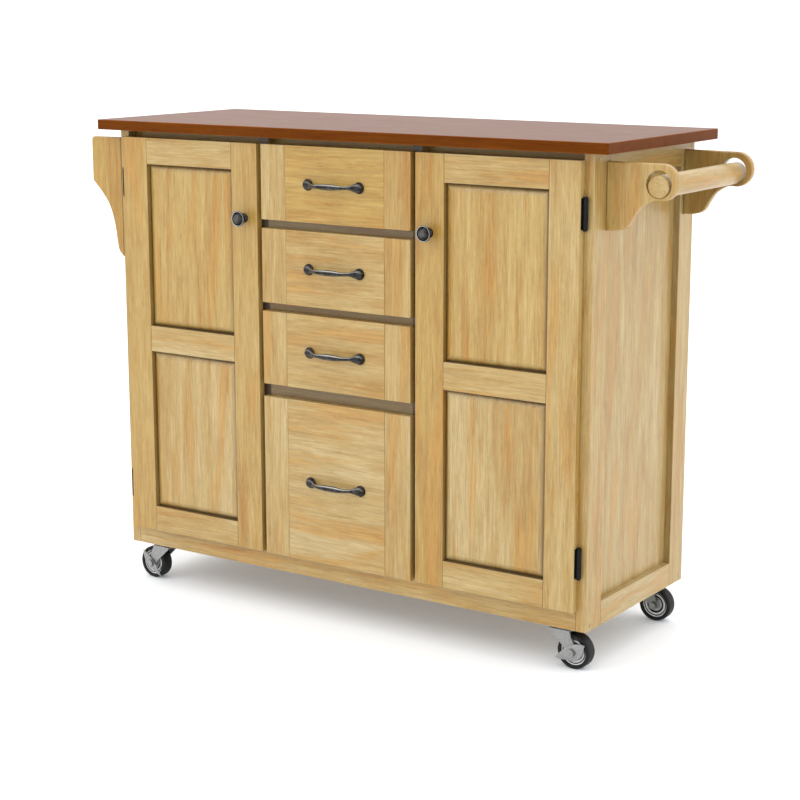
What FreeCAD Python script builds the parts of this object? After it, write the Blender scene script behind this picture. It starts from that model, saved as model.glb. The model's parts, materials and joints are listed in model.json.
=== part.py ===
import FreeCAD, Part
import math
import os
import re

import Sketcher

# Rolling kitchen cart: a slab top on a cabinet with two doors and four drawers, a jar rack on
# the left, a towel bar on the right and four swivel casters. +Z is up, +X is to the right of
# somebody facing the doors, and the doors face -Y. Sizes are in millimetres.
# Places below are measured from the cabinet: x from its centre, y back from the front faces of
# its stiles, z up from the floor. ORIGIN_X and ORIGIN_Y move all of it so that the origin lies
# on the floor under the middle of the whole object.

DRIVING_SIZES = {
    # the whole cart and its slab top
    "total_height": 918, "slab_thickness": 19, "side_overhang": 36.5, "slab_overhang": 27,
    "rear_overhang": 20, "slab_ease": 1.5, "slab_corner": 4.5,
    # cabinet
    "cabinet_width": 1032, "cabinet_depth": 376,
    "side_thickness": 20, "stile_width": 53, "side_top_rail": 45, "side_bottom_rail": 44,
    "panel_recess": 12, "side_panel_thickness": 6,
    "rail_thickness": 20, "bottom_rail_height": 44, "top_rail_height": 30, "top_rail_recess": 22,
    "rear_rail_height": 60, "back_thickness": 5,
    "floor_thickness": 12, "partition_thickness": 20, "partition_centre": 169,
    "plug_radius": 4, "plug_height": 1, "plug_inset": 16, "rear_plug_inset": 9, "low_plug": 10,
    # doors and drawer fronts
    "front_thickness": 15, "front_clearance": 0.5, "front_top_gap": 12, "front_bottom_gap": 36,
    "door_gap": 10, "side_reveal": 18, "door_stile": 59, "door_rail": 50.5,
    "groove_depth": 6, "groove_gap": 0.3, "tongue_thickness": 3.5, "tongue_inset": 1.5,
    "panel_rise": 5.5, "bevel_width": 12,
    "shallow_front": 138, "shallow_gap": 15.5, "deep_gap": 23.3, "front_overlay": 6,
    "front_end_board": 55,
    # drawer boxes
    "box_gap": 12.5, "box_depth": 310, "box_wall": 12, "box_bottom": 5, "box_bottom_inset": 8,
    "shallow_box": 95, "deep_box_drop": 36.7, "box_lift": 14,
    "runner_height": 10, "runner_gap": 0.5, "runner_bite": 5, "runner_drop": 20,
    # knobs and pulls
    "knob_radius": 14.7, "knob_base_radius": 8.7, "knob_neck_radius": 5.5, "knob_reach": 25,
    "knob_base_height": 3, "knob_head_height": 8, "knob_drop": 138,
    "pull_spacing": 112, "pull_foot_radius": 10.3, "pull_foot_height": 4, "pull_reach": 23,
    "pull_bar_radius": 4.6, "pull_bend": 14,
    # hinges and catches
    "hinge_height": 52, "hinge_knuckle_radius": 4.5, "hinge_pin_radius": 2, "hinge_pin_gap": 0.08,
    "hinge_leaf_thickness": 1.6, "hinge_inset": 62, "hinge_out": 5,
    "hinge_forward": 6, "knuckle_gap": 0.4, "hinge_head_height": 2,
    "catch_width": 44, "catch_height": 12, "catch_depth": 21.5,
    # shelves behind the doors
    "shelf_thickness": 16, "shelf_lift": 346, "shelf_gap": 1.5, "shelf_setback": 25,
    "pin_radius": 2.5, "pin_length": 9, "pin_inset": 45,
    # towel bar
    "bracket_reach": 130, "bracket_height": 115, "bracket_drop": 16, "bracket_thickness": 13,
    "bracket_front": 40, "bracket_rear": 334, "nose_radius": 30.5,
    "bar_radius": 19, "bar_hole_radius": 23, "bar_hole_inset": 34.5, "bar_overshoot": 3,
    "bar_rest_gap": 0.3,
    # jar rack
    "rack_reach": 76, "rack_height": 230, "rack_side_thickness": 15, "rack_corner": 7,
    "rack_shelf_thickness": 12, "rack_shelf_drop": 80, "rack_rail_radius": 5,
    "rack_rail_drop": 46, "rack_rail_step": 26, "rack_rail_inset": 9, "rack_rail_seat": 8,
    # casters
    "caster_inset_x": 60, "caster_inset_y": 30, "wheel_radius": 31.75, "wheel_width": 24,
    "hub_radius": 24.5, "hub_width": 17, "hub_boss_radius": 8, "axle_radius": 4,
    "axle_gap": 0.05, "axle_head_radius": 6.5, "axle_head_height": 3.5, "caster_trail": 26,
    "cheek_thickness": 2.5, "cheek_gap": 1.2, "cheek_foot_radius": 9, "crown_gap": 3,
    "crown_radius": 20, "crown_thickness": 3, "caster_stack": 10.5, "plate_thickness": 2.5,
    "plate_length": 70, "plate_width": 46, "bearing_radius": 13, "kingpin_radius": 5, "kingpin_gap": 0.08,
    "block_height": 32, "block_length": 84, "block_width": 52,
    "pedal_thickness": 2, "pedal_gap": 0.6, "pedal_radius": 17, "pedal_tip": 36,
    "left_heading": 178, "right_heading": 0,
    "left_pedal_tilt": 45, "right_pedal_tilt": 27,
}

# Places that several pieces share, each worked out from the cells.
PLACES = {
    "crown_height": "2 * wheel_radius + crown_gap",
    "floor_clearance": "crown_height + caster_stack",
    "slab_under": "total_height - slab_thickness",
    "half_width": "cabinet_width / 2",
    "slab_back": "cabinet_depth + rear_overhang",
    "inner_half": "half_width - side_thickness",
    "front_top": "slab_under - front_top_gap",
    "front_bottom": "floor_clearance + front_bottom_gap",
    "floor_top": "floor_clearance + bottom_rail_height",
    "door_inner": "partition_centre + door_gap / 2",
    "door_outer": "half_width - side_reveal",
    "drawer_half": "partition_centre - door_gap / 2",
    "opening_half": "partition_centre - partition_thickness / 2",
    "front_back": "0 - front_clearance",
    "front_face": "front_back - front_thickness",
    "back_face": "cabinet_depth - rail_thickness - back_thickness",
    "panel_opening": "(front_top - front_bottom - 3 * door_rail) / 2",
    "hinge_x": "door_outer + hinge_out",
    "hinge_y": "0 - hinge_forward",
    "caster_x": "half_width - caster_inset_x",
    "knob_height": "front_top - knob_drop",
    "shelf_height": "floor_top + shelf_lift",
    "bracket_top": "slab_under - bracket_drop",
    "bracket_bottom": "bracket_top - bracket_height",
    "rack_shelf_height": "bracket_top - rack_shelf_drop",
    "rack_rail_height": "bracket_top - rack_rail_drop",
    "bar_x": "half_width + bracket_reach - bar_hole_inset",
    "bar_hole_z": "bracket_top - bar_hole_inset + 0.7",
    "bar_z": "bar_hole_z - bar_hole_radius + bar_radius + bar_rest_gap",
}
ORIGIN_X = "(bracket_reach - rack_reach) / 2"
ORIGIN_Y = "(slab_back + front_face - knob_reach) / 2"

doc = FreeCAD.newDocument("kitchen_cart")
sheet = doc.addObject("Spreadsheet::Sheet", "Sizes")
for row, (alias, number) in enumerate(DRIVING_SIZES.items(), start=1):
    sheet.set(f"A{row}", alias)
    sheet.set(f"B{row}", str(number))
    sheet.setAlias(f"B{row}", alias)
doc.recompute()

subparts = {}


def formula(text):
    """Expand the shared places, then point each cell's name at the sheet."""
    while any(re.search(rf"\b{place}\b", text) for place in PLACES):
        for place, worth in PLACES.items():
            text = re.sub(rf"\b{place}\b", f"({worth})", text)
    return re.sub(r"[a-z_]{3,}", lambda word: "Sizes." + word.group(0)
                  if word.group(0) in DRIVING_SIZES else word.group(0), str(text))


def size(text):
    """The same formula worked out as a number, for outlines that arcs are computed on."""
    return float(sheet.evalExpression(formula(text)))


def bind(item, **properties):
    """Bind each named property of the item to a formula on the sheet."""
    for name, text in properties.items():
        item.setExpression(name, formula(str(text)))
    return item


def place(item, x="0", y="0", z="0"):
    """Bind the item's position, given from the cabinet, to the object's own origin."""
    item.setExpression("Placement.Base.x", formula(f"({x}) - {ORIGIN_X}"))
    item.setExpression("Placement.Base.y", formula(f"({y}) - {ORIGIN_Y}"))
    item.setExpression("Placement.Base.z", formula(f"({z})"))
    return item


def turn(item, axis, degrees):
    item.Placement = FreeCAD.Placement(item.Placement.Base, FreeCAD.Rotation(axis, degrees))
    return item


X_AXIS = FreeCAD.Vector(1, 0, 0)
Y_AXIS = FreeCAD.Vector(0, 1, 0)
Z_AXIS = FreeCAD.Vector(0, 0, 1)


def subpart(label, item):
    item.Label = label
    subparts[label] = item
    return item


def board(x, y, z):
    """A board between two places along each axis, each pair given low, high."""
    item = doc.addObject("Part::Box", "board")
    bind(item, Length=f"({x[1]}) - ({x[0]})", Width=f"({y[1]}) - ({y[0]})",
         Height=f"({z[1]}) - ({z[0]})")
    return place(item, x[0], y[0], z[0])


def mirrored(low, high, side):
    """The same span on the right (side 1) or on the left (side -1)."""
    return (low, high) if side > 0 else (f"-({high})", f"-({low})")


def rod(radius, length, x, y, z, along="z"):
    """A round bar that starts at a place and runs along +X, +Y or +Z."""
    item = doc.addObject("Part::Cylinder", "rod")
    bind(item, Radius=radius, Height=length)
    if along == "x":
        turn(item, Y_AXIS, 90)
    if along == "y":
        turn(item, X_AXIS, -90)
    return place(item, x, y, z)


def group(items):
    item = doc.addObject("Part::Compound", "group")
    item.Links = items
    return item


def joined(items):
    item = doc.addObject("Part::MultiFuse", "joined")
    item.Shapes = items
    return item


def cut(base, tools):
    item = doc.addObject("Part::Cut", "cut")
    item.Base = base
    item.Tool = tools[0] if len(tools) == 1 else joined(tools)
    return item


def outline_body(start, runs, thickness, x, y, z, holes=()):
    """A board cut to an outline in the XZ plane, padded back along +Y from the place given.

    The outline leaves start and follows runs, each one a list of points (u, w): one point ends
    a straight edge, two are the middle and the end of an arc, more lie along a smooth curve.
    Holes are (u, w, radius), each given as a formula."""
    body = doc.addObject("PartDesign::Body", "shaped_board")
    sketch = body.newObject("Sketcher::SketchObject", "outline")
    plane = [item for item in body.Origin.OriginFeatures if item.Role == "XZ_Plane"][0]
    sketch.AttachmentSupport = [(plane, "")]
    sketch.MapMode = "FlatFace"
    edges = []
    here = FreeCAD.Vector(start[0], start[1], 0)
    for run in runs:
        points = [here] + [FreeCAD.Vector(u, w, 0) for u, w in run]
        if len(run) == 1:
            edges.append(Part.LineSegment(*points))
        elif len(run) == 2:
            edges.append(Part.Arc(*points))
        else:
            curve = Part.BSplineCurve()
            curve.interpolate(points)
            edges.append(curve)
        here = points[-1]
    sketch.addGeometry(edges, False)
    pad = body.newObject("PartDesign::Pad", "thickness")
    pad.Profile = sketch
    bind(pad, Length=thickness)
    pad.Reversed = True
    doc.recompute()
    for u, w, radius in holes:
        ring = body.newObject("Sketcher::SketchObject", "hole_outline")
        ring.AttachmentSupport = [(plane, "")]
        ring.MapMode = "FlatFace"
        ring.addGeometry(Part.Circle(FreeCAD.Vector(size(u), size(w), 0), Z_AXIS, size(radius)), False)
        ring.addConstraint(Sketcher.Constraint("Radius", 0, size(radius)))
        ring.addConstraint(Sketcher.Constraint("DistanceX", -1, 1, 0, 3, size(u)))
        ring.addConstraint(Sketcher.Constraint("DistanceY", -1, 1, 0, 3, size(w)))
        ring.setExpression("Constraints[0]", formula(radius))
        ring.setExpression("Constraints[1]", formula(u))
        ring.setExpression("Constraints[2]", formula(w))
        hole = body.newObject("PartDesign::Pocket", "hole")
        hole.Profile = ring
        hole.Type = "ThroughAll"
        hole.Midplane = True
        doc.recompute()
    return place(body, x, y, z)


# Slab top: one flat board with eased edges and rounded corners, overhanging all sides.
slab = board(("-half_width - side_overhang", "half_width + side_overhang"),
             ("-slab_overhang", "slab_back"), ("slab_under", "total_height"))
doc.recompute()
eased_slab = doc.addObject("Part::Fillet", "eased_slab")
eased_slab.Base = slab
corners = [abs(edge.tangentAt(edge.FirstParameter).z) > 0.5 for edge in slab.Shape.Edges]
radii = [size("slab_corner" if upright else "slab_ease") for upright in corners]
eased_slab.Edges = [(number, radius, radius) for number, radius in enumerate(radii, start=1)]
subpart("top_slab", eased_slab)


# Side frames: front and rear stiles, top and bottom rails between them, and a thin recessed
# panel that sits in the frame's opening.
def side_frame(side):
    thickness = mirrored("inner_half", "half_width", side)
    stiles = [board(thickness, span, ("floor_clearance", "slab_under"))
              for span in (("0", "stile_width"), ("cabinet_depth - stile_width", "cabinet_depth"))]
    between = ("stile_width", "cabinet_depth - stile_width")
    rails = [board(thickness, between, span)
             for span in (("floor_clearance", "floor_clearance + side_bottom_rail"),
                          ("slab_under - side_top_rail", "slab_under"))]
    panel_x = mirrored("half_width - panel_recess - side_panel_thickness",
                       "half_width - panel_recess", side)
    panel = board(panel_x, between, ("floor_clearance + side_bottom_rail",
                                     "slab_under - side_top_rail"))
    return group(stiles + rails), panel


for name, side in (("left", -1), ("right", 1)):
    frame, panel = side_frame(side)
    subpart(f"{name}_side_frame", frame)
    subpart(f"{name}_side_panel", panel)

# Rails, partitions, floor and back that tie the two side frames together.
subpart("front_bottom_rail", board(("-inner_half", "inner_half"), ("0", "rail_thickness"),
                                   ("floor_clearance", "floor_top")))
top_rail_y = ("top_rail_recess", "top_rail_recess + rail_thickness")
top_rail_z = ("slab_under - top_rail_height", "slab_under")
subpart("front_top_rail", board(("-inner_half", "inner_half"), top_rail_y, top_rail_z))
rear_y = ("cabinet_depth - rail_thickness", "cabinet_depth")
subpart("rear_rails", group([
    board(("-inner_half", "inner_half"), rear_y,
          ("floor_clearance", "floor_clearance + rear_rail_height")),
    board(("-inner_half", "inner_half"), rear_y,
          ("slab_under - rear_rail_height", "slab_under"))]))
subpart("back_panel", board(("-inner_half", "inner_half"),
                            ("back_face", "back_face + back_thickness"),
                            ("floor_clearance", "slab_under")))
subpart("cabinet_floor", board(("-inner_half", "inner_half"), ("rail_thickness", "back_face"),
                               ("floor_top - floor_thickness", "floor_top")))


def partition(side):
    """An upright between a door's bay and the drawers, notched over the top rail."""
    across = mirrored("opening_half", "partition_centre + partition_thickness / 2", side)
    upright = board(across, ("0", "back_face"), ("floor_top", "slab_under"))
    notch = board(across, top_rail_y, top_rail_z)
    return cut(upright, [notch])


subpart("partitions", group([partition(-1), partition(1)]))

drawer_bottoms = ["front_top - shallow_front",
                  "front_top - 2 * shallow_front - shallow_gap",
                  "front_top - 3 * shallow_front - 2 * shallow_gap",
                  "front_bottom"]
drawer_tops = ["front_top",
               "front_top - shallow_front - shallow_gap",
               "front_top - 2 * shallow_front - 2 * shallow_gap",
               "front_top - 3 * shallow_front - 2 * shallow_gap - deep_gap"]
subpart("drawer_rails", group([
    board(("-opening_half", "opening_half"), ("0", "rail_thickness"),
          (f"{drawer_tops[number + 1]} - front_overlay",
           f"{drawer_bottoms[number]} + front_overlay"))
    for number in range(3)]))

# Screw plugs: low round wooden caps over the screws that hold the rails to the side frames.
plug_rows = [(along_y, height)
             for along_y in ("plug_inset", "cabinet_depth - rear_plug_inset")
             for height in ("slab_under - front_top_gap", "floor_clearance + low_plug")]
plugs = [rod("plug_radius", "plug_height", f"{start} * half_width {offset}", along_y, height, "x")
         for start, offset in (("1", ""), ("-1", "- plug_height"))
         for along_y, height in plug_rows]
subpart("screw_plugs", group(plugs))


# Doors: a frame of two stiles and three rails with grooves for two raised panels.
def raised_panel(x, low, high):
    """A panel with a thin tongue all round and a bevel that rises to a flat field."""
    low_x = f"{x[0]} - groove_depth + groove_gap"
    high_x = f"{x[1]} + groove_depth - groove_gap"
    tongue_y = ("front_back - tongue_inset - tongue_thickness", "front_back - tongue_inset")
    tongue = board((low_x, high_x), tongue_y,
                   (f"{low} - groove_depth + groove_gap", f"{high} + groove_depth - groove_gap"))
    field = doc.addObject("Part::Wedge", "field")
    across = f"({x[1]}) - ({x[0]}) - 2 * groove_gap"
    tall = f"({high}) - ({low}) - 2 * groove_gap"
    bind(field, Xmin="bevel_width", Xmax=f"{across} - bevel_width", X2min="0", X2max=across,
         Zmin="bevel_width", Zmax=f"{tall} - bevel_width", Z2min="0", Z2max=tall,
         Ymin="0", Ymax="panel_rise")
    place(field, f"{x[0]} + groove_gap", f"{tongue_y[0]} - panel_rise", f"{low} + groove_gap")
    return joined([tongue, field])


def door(name, side):
    stile_spans = [("door_inner", "door_inner + door_stile"),
                   ("door_outer - door_stile", "door_outer")]
    depth = ("front_face", "front_back")
    opening_x = mirrored("door_inner + door_stile", "door_outer - door_stile", side)
    rail_lows = [f"front_bottom + {step} * (door_rail + panel_opening)" for step in range(3)]
    panel_lows = [f"{low} + door_rail" for low in rail_lows[:2]]
    groove_y = ("front_back - tongue_inset - tongue_thickness - groove_gap",
                "front_back - tongue_inset + groove_gap")

    def groove(low):
        return board((f"{opening_x[0]} - groove_depth", f"{opening_x[1]} + groove_depth"),
                     groove_y, (f"{low} - groove_depth", f"{low} + panel_opening + groove_depth"))

    stiles = [cut(board(mirrored(*span, side), depth, ("front_bottom", "front_top")),
                  [groove(low) for low in panel_lows]) for span in stile_spans]
    rails = [cut(board(opening_x, depth, (low, f"{low} + door_rail")),
                 [groove(panel_low) for panel_low in panel_lows]) for low in rail_lows]
    subpart(f"{name}_door_frame", group(stiles + rails))
    subpart(f"{name}_door_panels", group([
        raised_panel(opening_x, low, f"{low} + panel_opening") for low in panel_lows]))


def knob(name, side):
    """A turned metal knob: a round base, a waisted neck and a wide rounded head."""
    body = doc.addObject("PartDesign::Body", "turned_knob")
    sketch = body.newObject("Sketcher::SketchObject", "half_profile")
    plane = [item for item in body.Origin.OriginFeatures if item.Role == "XY_Plane"][0]
    sketch.AttachmentSupport = [(plane, "")]
    sketch.MapMode = "FlatFace"
    radii = ["0", "knob_base_radius", "knob_base_radius", "knob_neck_radius",
             "knob_neck_radius", "knob_radius", "knob_radius", "knob_radius * 0.62", "0"]
    heights = ["0", "0", "0 - knob_base_height", "0 - knob_base_height - 1",
               "knob_head_height - knob_reach - 3", "knob_head_height - knob_reach",
               "3 - knob_reach", "0 - knob_reach", "0 - knob_reach"]
    corners = [FreeCAD.Vector(size(r), size(y), 0) for r, y in zip(radii, heights)]
    sketch.addGeometry([Part.LineSegment(corners[step - 1], corners[step])
                        for step in range(len(corners))], False)
    for step in range(len(corners)):
        following = (step + 1) % len(corners)
        sketch.addConstraint(Sketcher.Constraint("Coincident", step, 2, following, 1))
    for step, (radius, height) in enumerate(zip(radii, heights)):
        for kind, text in (("DistanceX", radius), ("DistanceY", height)):
            count = sketch.addConstraint(Sketcher.Constraint(kind, -1, 1, step, 2, size(text)))
            sketch.setExpression(f"Constraints[{count}]", formula(text))
    turned = body.newObject("PartDesign::Revolution", "turning")
    turned.Profile = sketch
    turned.ReferenceAxis = (sketch, ["V_Axis"])
    turned.Angle = 360
    place(body, f"{side} * (door_inner + door_stile / 2)", "front_face", "knob_height")
    subpart(f"{name}_door_knob", body)


for name, side in (("left", -1), ("right", 1)):
    door(name, side)
    knob(name, side)

# Butt hinges: the door's leaf carries the two end knuckles and is screwed to the door's outer
# edge, the cabinet's leaf carries the middle knuckle and is let into the front face of the
# stile, and a pin with a head at each end runs through all three.
hinge_lows = ["front_bottom + hinge_inset", "front_top - hinge_inset - hinge_height"]


def knuckle(side, low, high, fit):
    """A tube of the barrel, and the bore through it with the given fit round the pin."""
    ring = rod("hinge_knuckle_radius", f"({high}) - ({low})", f"{side} * (hinge_x)", "hinge_y", low)
    bore = rod(f"hinge_pin_radius + {fit}", f"({high}) - ({low}) + 2",
               f"{side} * (hinge_x)", "hinge_y", f"{low} - 1")
    return ring, bore


def door_leaf(side, low):
    """Two end knuckles on a leaf that is screwed to the door's outer edge."""
    third = "hinge_height / 3"
    spans = [(low, f"{low} + {third} - knuckle_gap"),
             (f"{low} + 2 * {third} + knuckle_gap", f"{low} + hinge_height")]
    pieces = []
    for span in spans:
        ring, bore = knuckle(side, *span, "hinge_pin_gap")
        strap = board(mirrored("door_outer", "hinge_x", side),
                      ("hinge_y - hinge_leaf_thickness", "hinge_y"), span)
        pieces.append(cut(joined([ring, strap]), [bore]))
    leaf = board(mirrored("door_outer", "door_outer + hinge_leaf_thickness / 2", side),
                 ("front_face + 3", "hinge_y"), (low, f"{low} + hinge_height"))
    middle_relief = rod("hinge_knuckle_radius + knuckle_gap", f"{third} + 2 * knuckle_gap",
                        f"{side} * (hinge_x)", "hinge_y", f"{low} + {third} - knuckle_gap")
    return joined(pieces + [cut(leaf, [middle_relief])])


def cabinet_leaf(side, low):
    """The middle knuckle on a leaf let into the front face of the stile."""
    third = "hinge_height / 3"
    span = (f"{low} + {third}", f"{low} + 2 * {third}")
    ring, bore = knuckle(side, *span, "0")
    web = board(mirrored("hinge_x - hinge_leaf_thickness / 2",
                         "hinge_x + hinge_leaf_thickness / 2", side), ("hinge_y", "0"), span)
    middle = cut(joined([ring, web]), [bore])
    plate = board(mirrored("hinge_x - hinge_leaf_thickness / 2", "hinge_x + hinge_leaf_thickness",
                           side),
                  ("0 - hinge_leaf_thickness / 4", "0"), span)
    return joined([middle, plate])


for name, side in (("left", -1), ("right", 1)):
    subpart(f"{name}_door_hinge_leaves", group([door_leaf(side, low) for low in hinge_lows]))
leaves = [cabinet_leaf(side, low) for side in (-1, 1) for low in hinge_lows]
pins = []
for side in (-1, 1):
    for low in hinge_lows:
        shank = rod("hinge_pin_radius", "hinge_height", f"{side} * (hinge_x)", "hinge_y", low)
        heads = [rod("hinge_knuckle_radius * 0.8", "hinge_head_height", f"{side} * (hinge_x)",
                     "hinge_y", height)
                 for height in (f"{low} + hinge_height + knuckle_gap",
                                f"{low} - knuckle_gap - hinge_head_height")]
        necks = [rod("hinge_pin_radius", "knuckle_gap", f"{side} * (hinge_x)", "hinge_y", height)
                 for height in (f"{low} + hinge_height", f"{low} - knuckle_gap")]
        pins.append(joined([shank] + heads + necks))
subpart("cabinet_hinge_leaves", group(leaves))
subpart("hinge_pins", group(pins))

# Magnetic catches under the top rail, one behind each door's free edge.
subpart("door_catches", group([
    board(mirrored("partition_centre + partition_thickness / 2 + 12",
                   "partition_centre + partition_thickness / 2 + 12 + catch_width", side),
          ("top_rail_recess - catch_depth", "top_rail_recess"),
          ("slab_under - top_rail_height", "slab_under - top_rail_height + catch_height"))
    for side in (-1, 1)]))


# Shelves behind the doors, each resting on four pins.
def shelf_span(side):
    return mirrored("partition_centre + partition_thickness / 2 + shelf_gap",
                    "inner_half - shelf_gap", side)


shelf_y = ("shelf_setback", "back_face - shelf_gap")
subpart("shelves", group([board(shelf_span(side), shelf_y,
                                ("shelf_height", "shelf_height + shelf_thickness"))
                          for side in (-1, 1)]))
shelf_pins = []
for side in (-1, 1):
    for wall in ("partition_centre + partition_thickness / 2", "inner_half - pin_length"):
        start = f"{wall}" if side > 0 else f"-({wall}) - pin_length"
        for along_y in ("shelf_setback + pin_inset", "back_face - pin_inset"):
            shelf_pins.append(rod("pin_radius", "pin_length", start, along_y,
                                  "shelf_height - pin_radius", "x"))
subpart("shelf_pins", group(shelf_pins))

# Drawers: a front of one wide board between two upright end boards, on a five-board box with a
# groove along each side that rides on a wooden runner, and a bow pull.
box_half = "opening_half - box_gap"
runners = []
for number in range(4):
    low, high = drawer_bottoms[number], drawer_tops[number]
    height = f"{high} - ({low}) - box_lift - deep_box_drop" if number == 3 else "shallow_box"
    depth = ("front_face", "front_back")
    subpart(f"drawer_{number + 1}_front", group([
        board(("-drawer_half", "-drawer_half + front_end_board"), depth, (low, high)),
        board(("-drawer_half + front_end_board", "drawer_half - front_end_board"), depth,
              (low, high)),
        board(("drawer_half - front_end_board", "drawer_half"), depth, (low, high))]))
    floor = f"{low} + box_lift"
    top = f"{floor} + {height}"
    back = "front_back + box_depth"
    groove_z = (f"{top} - runner_drop - runner_height - runner_gap",
                f"{top} - runner_drop + runner_gap")
    boards = []
    for side in (-1, 1):
        wall = board(mirrored(f"{box_half} - box_wall", box_half, side), ("front_back", back),
                     (floor, top))
        slot = board(mirrored(f"{box_half} - runner_bite - runner_gap", f"{box_half} + 1", side),
                     ("front_back + box_wall", f"{back} + 1"), groove_z)
        boards.append(cut(wall, [slot]))
        runners.append(board(mirrored(f"{box_half} - runner_bite", "opening_half", side),
                             ("rail_thickness + runner_gap", "back_face"),
                             (f"{top} - runner_drop - runner_height", f"{top} - runner_drop")))
    inside = (f"-({box_half}) + box_wall", f"{box_half} - box_wall")
    boards.append(board(inside, ("front_back", "front_back + box_wall"), (floor, top)))
    boards.append(board(inside, (f"{back} - box_wall", back), (floor, top)))
    boards.append(board(inside, ("front_back + box_wall", f"{back} - box_wall"),
                        (f"{floor} + box_bottom_inset", f"{floor} + box_bottom_inset + box_bottom")))
    subpart(f"drawer_{number + 1}_box", group(boards))
subpart("drawer_runners", group(runners))


def pull(number):
    """A bow pull: two round feet and a round bar that leaves them, bends over and runs across."""
    half = size("pull_spacing / 2")
    reach = size("pull_reach - pull_bar_radius")
    bend = size("pull_bend")
    straight = -(reach - bend)
    slant = bend * (1 - math.sqrt(0.5))
    points = [(-half, 0), (-half, straight), (slant - half, straight - bend + slant),
              (bend - half, -reach), (half - bend, -reach),
              (half - slant, straight - bend + slant), (half, straight), (half, 0)]
    corners = [FreeCAD.Vector(x, y, 0) for x, y in points]
    edges = [Part.LineSegment(corners[0], corners[1]), Part.Arc(*corners[1:4]),
             Part.LineSegment(corners[3], corners[4]), Part.Arc(*corners[4:7]),
             Part.LineSegment(corners[6], corners[7])]
    path = Part.Wire([edge.toShape() for edge in edges])
    ring = Part.Wire([Part.Circle(corners[0], Y_AXIS, size("pull_bar_radius")).toShape()])
    bar = path.makePipeShell([ring], True, True)
    feet = [Part.makeCylinder(size("pull_foot_radius"), size("pull_foot_height"), corner, -Y_AXIS)
            for corner in (corners[0], corners[7])]
    item = doc.addObject("Part::Feature", "pull")
    item.Shape = bar.fuse(feet).removeSplitter()
    middle = f"(({drawer_bottoms[number]}) + ({drawer_tops[number]})) / 2"
    place(item, "0", "front_face", middle)
    subpart(f"drawer_{number + 1}_pull", item)


for number in range(4):
    pull(number)


# Towel bar: a plain dowel lying loose in the holes of two shaped brackets.
def bracket(front):
    """A straight top and back, a round nose, and an S-shaped underside down to the foot."""
    nose = size("nose_radius")
    reach = size("bracket_reach")
    tall = size("bracket_height")
    centre_u, centre_w = reach - nose, tall - nose
    nose_end = (centre_u - nose * 0.17, centre_w - nose * 0.985)
    underside = [(0.638, 0.464), (0.515, 0.387), (0.454, 0.326), (0.385, 0.209), (0.323, 0.091),
                 (0.254, 0.038), (0.146, 0.009), (0, 0)]
    runs = [[(0, tall)], [(centre_u, tall)],
            [(centre_u + nose * math.sqrt(0.5), centre_w + nose * math.sqrt(0.5)),
             (reach, centre_w)],
            [(centre_u + nose * math.sqrt(0.5), centre_w - nose * math.sqrt(0.5)), nose_end],
            [(u * reach, w * tall) for u, w in underside]]
    return outline_body((0, 0), runs, "bracket_thickness", "half_width", front, "bracket_bottom",
                        [("bracket_reach - bar_hole_inset", "bar_hole_z - (bracket_bottom)",
                          "bar_hole_radius")])


subpart("towel_bar_brackets", group([bracket("bracket_front"), bracket("bracket_rear")]))
subpart("towel_bar", rod("bar_radius",
                         "bracket_rear + bracket_thickness - bracket_front + 2 * bar_overshoot",
                         "bar_x", "bracket_front - bar_overshoot", "bar_z", "y"))


# Jar rack: two shaped sides, a shelf between them and two round rails that keep jars in.
def rack_side(front):
    """A straight top and outer edge, then a curve that sweeps in to a narrow foot."""
    reach, tall, corner = size("rack_reach"), size("rack_height"), size("rack_corner")
    sweep = [(1.0, 0.639), (0.961, 0.617), (0.697, 0.53), (0.493, 0.443), (0.382, 0.363),
             (0.289, 0.252), (0.23, 0.122), (0.178, 0.048), (0.047, 0)]
    runs = [[(0, tall)], [(corner - reach, tall)],
            [(corner * (1 - math.sqrt(0.5)) - reach, tall - corner * (1 - math.sqrt(0.5))),
             (-reach, tall - corner)],
            [(-sweep[0][0] * reach, sweep[0][1] * tall)],
            [(-u * reach, w * tall) for u, w in sweep[1:]], [(0, 0)]]
    return outline_body((0, 0), runs, "rack_side_thickness", "-half_width", front,
                        "bracket_top - rack_height")


rack_sides = [rack_side("0"), rack_side("cabinet_depth - rack_side_thickness")]
rack_inside = ("rack_side_thickness", "cabinet_depth - rack_side_thickness")


def rack_rail(height):
    length = "cabinet_depth - 2 * rack_side_thickness + 2 * rack_rail_seat"
    return rod("rack_rail_radius", length, "-half_width - rack_reach + rack_rail_inset",
               "rack_side_thickness - rack_rail_seat", height, "y")


rail_heights = ["rack_rail_height", "rack_rail_height + rack_rail_step"]
rack_rails = [rack_rail(height) for height in rail_heights]
subpart("rack_sides", cut(group(rack_sides), [rack_rail(height) for height in rail_heights]))
subpart("rack_shelf", board(("-half_width - rack_reach + 3", "-half_width"), rack_inside,
                            ("rack_shelf_height - rack_shelf_thickness", "rack_shelf_height")))
subpart("rack_rails", group(rack_rails))


# Casters. Each is built about its swivel axis with the wheel trailing along +X, then turned to
# its heading. The brake pedal of a front caster hangs on the axle on the side that faces out.
cheek_inner = "wheel_width / 2 + cheek_gap"
cheek_outer = "wheel_width / 2 + cheek_gap + cheek_thickness"


def stand(item, side, rear, heading):
    """Turn a caster piece to its heading and set it on its swivel axis."""
    turn(item, Z_AXIS, size(heading))
    return place(item, f"{side} * (caster_x)",
                 "cabinet_depth - caster_inset_y" if rear else "caster_inset_y", "0")


def local_cylinder(radius, length, x, y, z, across=True):
    item = doc.addObject("Part::Cylinder", "round")
    bind(item, Radius=radius, Height=length)
    if across:
        turn(item, X_AXIS, -90)
    for axis, text in zip("xyz", (x, y, z)):
        item.setExpression(f"Placement.Base.{axis}", formula(text))
    return item


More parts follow.
